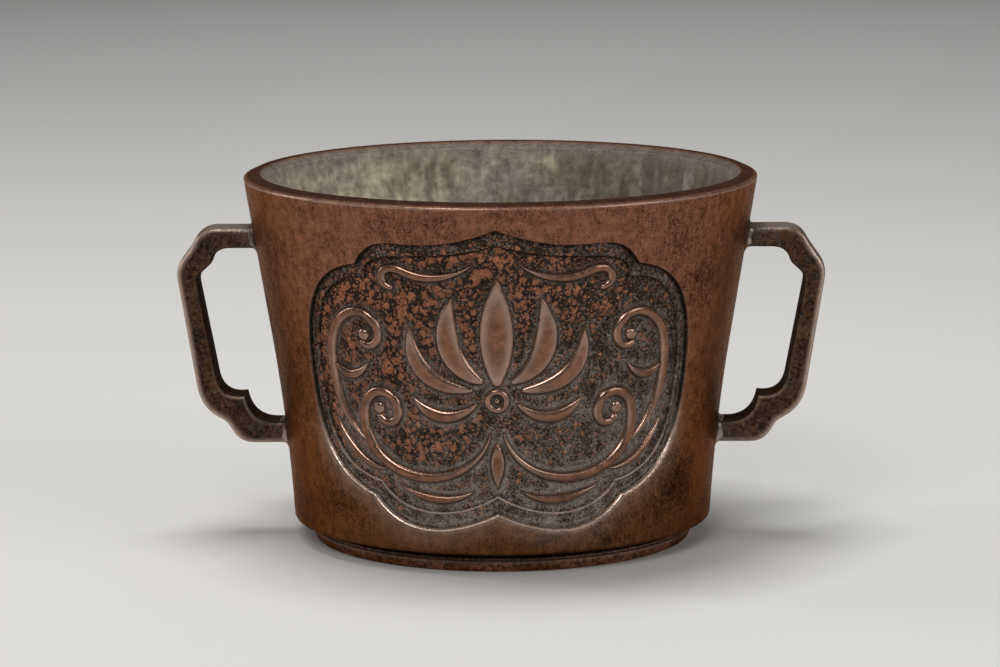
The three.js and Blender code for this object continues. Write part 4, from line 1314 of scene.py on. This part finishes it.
def handle_patina(colours):
    """Dark mottled brown with black, reddish and golden olive patches and a grey bloom near the solder.
    Its edges are rubbed pale and carry painted highlights, the upper bars' tops are grey, partly as
    painted light, and the faces inside the loop are painted black and matte as shade. The tenons' heads
    have the bowl's colours."""
    p = Patina("handle_patina")
    rub, grime, dust, bore, tin = p.masks("rub", "grime", "dust", "bore", "tin")
    patches, mottle, grain = p.noise(0.22, 4, 0.6), p.noise(0.9, 4, 0.7), p.noise(2.4, 3, 0.6)
    colour = p.mix((patches - 0.1 * tin).clear_of(0.46, 0.58), colours.handle_dark, colours.handle_olive)
    warm = p.noise(0.5, 3, 0.6, distortion=0.5).clear_of(0.48, 0.58)
    colour = p.mix(0.75 * warm, colour, colours.umber)
    colour = p.shade(colour, 1.1 * mottle + 0.5 * grain)
    dark = (p.noise(0.95, 3, 0.7) + 0.25 * p.noise(0.3)).clear_of(0.6, 0.72)
    colour = p.mix(0.8 * dark, colour, colours.blackened)
    colour = p.mix(0.5 * p.noise(1.0, 3, 0.7).clear_of(0.55, 0.63), colour, colours.rubbed_brown)
    greyed = (p.noise(0.7, 4, 0.8) + 0.18 * tin).clear_of(0.5, 0.72)
    colour = p.mix(0.4 * greyed, colour, colours.handle_mauve)
    wear_and_highlight = (rub * (0.5 + 0.5 * patches + 0.5 * grain)).at_most(1.0)
    # Pale wear with painted highlights on the edges.
    colour = p.mix(0.65 * wear_and_highlight, colour, colours.polish_and_highlight)
    # Grey on the upper bars' tops, partly painted light.
    colour = p.mix(0.85 * dust, colour, p.shade(colours.handle_grey, 0.4 + 0.9 * mottle))
    # Painted shade inside the loop.
    colour = p.mix(0.7 * grime, colour, colours.blackened)
    lining = p.mix(p.noise(0.35, 3).clear_of(0.4, 0.6), colours.bore_olive, colours.bore_mauve)
    colour = p.mix(0.85 * bore, colour, lining)
    rough = 0.36 + 0.16 * mottle - 0.12 * wear_and_highlight + 0.1 * dust + 0.25 * bore
    metal = (0.92 + 0.06 * dark - 0.25 * dust) * (1 - 0.7 * bore)
    normal = p.bump(1 - dark, 0.08, p.bump(0.6 * mottle + 0.4 * grain, 0.2))
    # The painted shade inside the loop is matte.
    return p.finish(colour, rough, metal, normal, (0.1 + 0.5 * wear_and_highlight) * (1 - dust), matte=0.85 * grime)


def foot_patina(colours):
    """Brown with dark specks, greyish over its swell with a painted highlight, and black painted shadow
    where it runs in under the wall.
    """
    p = Patina("foot_patina")
    rub, grime, dust = p.masks("rub", "grime", "dust")
    mottle, grain = p.noise(0.5, 4, 0.6), p.noise(2.0, 3, 0.6)
    brown = p.mix(p.noise(0.07, 3).clear_of(0.4, 0.62), colours.umber, colours.rubbed_brown)
    specks = (p.noise(1.0, 3, 0.6) + 0.2 * p.noise(0.1)).clear_of(0.56, 0.68)
    brown = p.mix(0.7 * specks, p.shade(brown, 2.0 * mottle + 1.6 * grain), colours.blackened)
    grey = p.shade(colours.foot_grey, 0.4 + 0.8 * mottle + 0.4 * grain)
    # Grey over the swell, partly a painted highlight.
    colour = p.mix(dust * (0.5 + 0.7 * p.noise(0.12, 3)).at_most(1.0), brown, grey)
    # A painted highlight on the swell.
    colour = p.mix(0.3 * rub, colour, colours.polish_and_highlight)
    # Painted shadow where the ring runs in under the wall.
    colour = p.mix(0.95 * grime, colour, colours.blackened)
    rough = 0.4 + 0.2 * mottle + 0.15 * specks + 0.2 * grime
    normal = p.bump(0.5 * mottle + 0.5 * grain, 0.07)
    return p.finish(colour, rough, 0.92 - 0.2 * dust, normal)


def floor_patina(colours):
    """Dull olive grey with pale and mauve clouds of ash, brown stains and faint turning marks."""
    p = Patina("floor_patina")
    grime, = p.masks("grime")
    clouds, mottle, grain = p.noise(0.09, 4, 0.6), p.noise(0.6, 4, 0.65), p.noise(2.0, 3, 0.6)
    ash = (0.6 * clouds + 0.4 * mottle).clear_of(0.35, 0.7)
    colour = p.mix(ash, colours.bore_olive, colours.bore_pale)
    colour = p.mix(0.7 * p.noise(0.06, 3).clear_of(0.38, 0.62), colour, colours.bore_mauve)
    stained = (p.noise(0.14, 5, 0.75) + 0.15 * grime).clear_of(0.5, 0.72)
    colour = p.mix(0.7 * stained, colour, colours.bore_stain)
    colour = p.shade(p.mix(0.6 * grime, colour, colours.blackened), 0.1 + 0.9 * mottle + 0.5 * grain)
    rings = p.node("TexWave", {"wave_type": "RINGS", "rings_direction": "Z"},
                   {"Vector": p.spot, "Scale": 0.5, "Distortion": 1.5, "Detail": 2.0})
    normal = p.bump(mottle + 0.15 * rings, 0.12)
    return p.finish(colour, 0.55 + 0.25 * mottle, 0.25 + 0.2 * clouds, normal)


def solder_patina(colours):
    """Dull grey solder with paler clouds, brighter with wear and painted glints where it is rubbed, and
    dark at its edge on the wall.
    """
    p = Patina("solder_patina")
    rub, grime = p.masks("rub", "grime")
    mottle = p.noise(0.9, 4, 0.6)
    colour = p.shade(colours.solder_grey, 0.5 + mottle)
    colour = p.mix(p.noise(0.6, 3, 0.6).clear_of(0.52, 0.72), colour, colours.foot_grey)
    # Wear with painted glints.
    colour = p.mix(0.5 * rub * p.noise(0.3, 2).clear_of(0.4, 0.6), colour, colours.polish_and_highlight)
    colour = p.mix(0.6 * grime, colour, colours.blackened)
    normal = p.bump(mottle + 0.4 * p.noise(2.5, 2), 0.18)
    return p.finish(colour, 0.28 + 0.2 * mottle - 0.1 * rub, 0.85 + 0.1 * mottle, normal)


def patina(name):
    """The named material, made when it is first asked for."""
    makers = {"wall_patina": wall_patina, "handle_patina": handle_patina, "foot_patina": foot_patina,
              "floor_patina": floor_patina, "solder_patina": solder_patina}
    return bpy.data.materials.get(name) or makers[name](bpy.context.scene.censer.colours)


# Operators, one for each piece or group of like pieces and one for the stage

class MakeWall(bpy.types.Operator):
    """Model the cast wall with its two sunk cartouches, its rim and its bore"""
    bl_idname = "censer.make_wall"
    bl_label = "Wall"

    def execute(self, context):
        vessel = Vessel(context.scene.censer)
        front = wall_half(vessel)
        patches = [front, front.half_turned(), wall_inside(vessel, front)]
        add_piece("cast_wall", patches, patina("wall_patina"), "wall_bronze", "vessel_wall")
        return {"FINISHED"}


class MakeRelief(bpy.types.Operator):
    """Model the raised lotus and scrolls of the front and the back cartouche"""
    bl_idname = "censer.make_relief"
    bl_label = "Relief"

    def execute(self, context):
        front = relief_patches(Vessel(context.scene.censer))
        back = [patch.half_turned() for patch in front]
        for name, patches in (("front_relief", front), ("back_relief", back)):
            add_piece(name, patches, patina("wall_patina"), "wall_bronze", "vessel_wall")
        return {"FINISHED"}


class MakeHandles(bpy.types.Operator):
    """Model the two strap handles with their tenons"""
    bl_idname = "censer.make_handles"
    bl_label = "Handles"

    def execute(self, context):
        settings = context.scene.censer
        vessel, handle = Vessel(settings), in_millimetres(settings.handle)
        right = [strap_patch(vessel, handle)]
        right += [tenon_patch(vessel, (low + high) / 2) for _, low, high in bars(handle)]
        left = [patch.half_turned() for patch in right]
        for side, patches in (("right", right), ("left", left)):
            add_piece(f"{side}_strap", patches, patina("handle_patina"), "handle_bronze", f"{side}_handle")
        return {"FINISHED"}


class MakeCollars(bpy.types.Operator):
    """Model the four solder collars at the handles' roots"""
    bl_idname = "censer.make_collars"
    bl_label = "Solder collars"

    def execute(self, context):
        settings = context.scene.censer
        vessel, handle = Vessel(settings), in_millimetres(settings.handle)
        for bar, low, high in bars(handle):
            right = collar_patch(vessel, handle, low, high)
            for side, patch in (("right", right), ("left", right.half_turned())):
                add_piece(f"{side}_{bar}_collar", [patch], patina("solder_patina"), "root_solder",
                          f"{side}_{bar}_solder")
        return {"FINISHED"}


class MakeFoot(bpy.types.Operator):
    """Model the turned foot ring"""
    bl_idname = "censer.make_foot"
    bl_label = "Foot ring"

    def execute(self, context):
        patch = foot_patch(in_millimetres(context.scene.censer.foot))
        add_piece("turned_foot", [patch], patina("foot_patina"), "foot_bronze", "foot_ring")
        return {"FINISHED"}


class MakePlate(bpy.types.Operator):
    """Model the bowl's floor plate"""
    bl_idname = "censer.make_plate"
    bl_label = "Floor plate"

    def execute(self, context):
        patch = plate_patch(in_millimetres(context.scene.censer.foot))
        add_piece("bowl_floor", [patch], patina("floor_patina"), "floor_bronze", "floor_plate")
        return {"FINISHED"}


class MakeStage(bpy.types.Operator):
    """Set the camera, the softboxes, the plain surroundings and the pale floor"""
    bl_idname = "censer.make_stage"
    bl_label = "Stage"

    def execute(self, context):
        stage = context.scene.censer.stage
        make_camera()
        aim = Vector((0, 0, 0.045))
        for name, place, size, strength in (
                ("key_softbox", (-0.35, -1.1, 1.05), (0.7, 0.45), stage.key_power),
                ("top_softbox", (-0.1, 0.1, 1.2), (0.6, 0.45), stage.top_power),
                ("side_softbox", (-1.1, 0.35, 0.45), (0.15, 0.7), stage.side_power),
                ("fill_softbox", (1.1, -0.7, 0.6), (0.8, 0.8), stage.fill_power),
                ("back_softbox", (0.0, 1.5, 0.6), (0.9, 0.35), stage.back_power)):
            add_softbox(name, Vector(place), size, strength, aim)
        world = bpy.data.worlds.new("plain_surroundings")
        world.use_nodes = True
        background = world.node_tree.nodes["Background"]
        background.inputs["Color"].default_value = (1, 1, 1, 1)
        background.inputs["Strength"].default_value = stage.sky_level
        context.scene.world = world
        add_floor(stage.floor_colour)
        context.scene.view_settings.view_transform = "Standard"
        return {"FINISHED"}


def make_camera():
    """The photograph's view: from the front and a little above, through a long lens held a little off
    level. The cartouche is turned a little off the line of the handles, and the camera takes that up."""
    data = bpy.data.cameras.new("front_camera")
    data.lens, data.sensor_width, data.shift_x = 147.8, 36, -0.0014
    data.clip_start, data.clip_end = 0.01, 50
    distance, height = 1.0, 0.2197
    turn, pitch, roll = math.radians(1.15), math.radians(80.35), math.radians(-0.36)
    round_axis = Matrix.Rotation(turn, 3, "Z")
    tilt = Matrix.Rotation(pitch, 3, "X") @ Matrix.Rotation(roll, 3, "Z")
    camera = bpy.data.objects.new("front_camera", data)
    camera.location = round_axis @ Vector((0, -distance, height))
    camera.rotation_euler = (round_axis @ tilt).to_euler()
    bpy.context.scene.collection.objects.link(camera)
    bpy.context.scene.camera = camera


def add_softbox(name, place, size, strength, aim):
    """A rectangular lamp that faces the aim."""
    data = bpy.data.lights.new(name, "AREA")
    data.shape, data.energy = "RECTANGLE", strength
    data.size, data.size_y = size
    lamp = bpy.data.objects.new(name, data)
    lamp.location = place
    lamp.rotation_euler = (aim - place).to_track_quat("-Z", "Y").to_euler()
    bpy.context.scene.collection.objects.link(lamp)


def add_floor(colour):
    """A wide level disc, as rings that grow outwards, in metres. It is turned backwards, so that its
    faces point up."""
    radii = np.array([0.0, 0.1, 0.3, 1.0, 3.0, 8.0])
    rings = np.stack([radii, 0 * radii], axis=1)
    angles = -full_turn(96)
    mesh = bpy.data.meshes.new("floor")
    mesh.from_pydata(turned(rings, angles).reshape(-1, 3).tolist(), [],
                     grid_faces(len(rings), len(angles), True, 0).tolist())
    shell = bmesh.new()
    shell.from_mesh(mesh)
    bmesh.ops.remove_doubles(shell, verts=shell.verts, dist=MERGE_DISTANCE)
    shell.to_mesh(mesh)
    shell.free()
    material = bpy.data.materials.new("floor_paint")
    material.use_nodes = True
    shader = material.node_tree.nodes["Principled BSDF"]
    shader.inputs["Base Color"].default_value = (*colour, 1)
    shader.inputs["Roughness"].default_value = 0.9
    mesh.materials.append(material)
    floor = bpy.data.objects.new("floor", mesh)
    bpy.context.scene.collection.objects.link(floor)


class CenserPanel(bpy.types.Panel):
    """Lists what the add-on makes"""
    bl_idname = "VIEW3D_PT_censer"
    bl_label = "Censer"
    bl_space_type = "VIEW_3D"
    bl_region_type = "UI"
    bl_category = "Censer"

    def draw(self, context):
        for maker in MAKERS:
            self.layout.operator(maker.bl_idname)


MAKERS = (MakeWall, MakeRelief, MakePlate, MakeFoot, MakeHandles, MakeCollars, MakeStage)
CLASSES = (VesselSizes, FootSizes, CartoucheSizes, HandleSizes, PatinaColours, StageSettings,
           CenserSettings, *MAKERS, CenserPanel)


def register():
    for cls in CLASSES:
        bpy.utils.register_class(cls)
    bpy.types.Scene.censer = PointerProperty(type=CenserSettings)


def unregister():
    del bpy.types.Scene.censer
    for cls in reversed(CLASSES):
        bpy.utils.unregister_class(cls)


def main():
    register()
    make = bpy.ops.censer
    for step in (make.make_wall, make.make_relief, make.make_plate, make.make_foot, make.make_handles,
                 make.make_collars, make.make_stage):
        step()


if __name__ == "__main__":
    main()
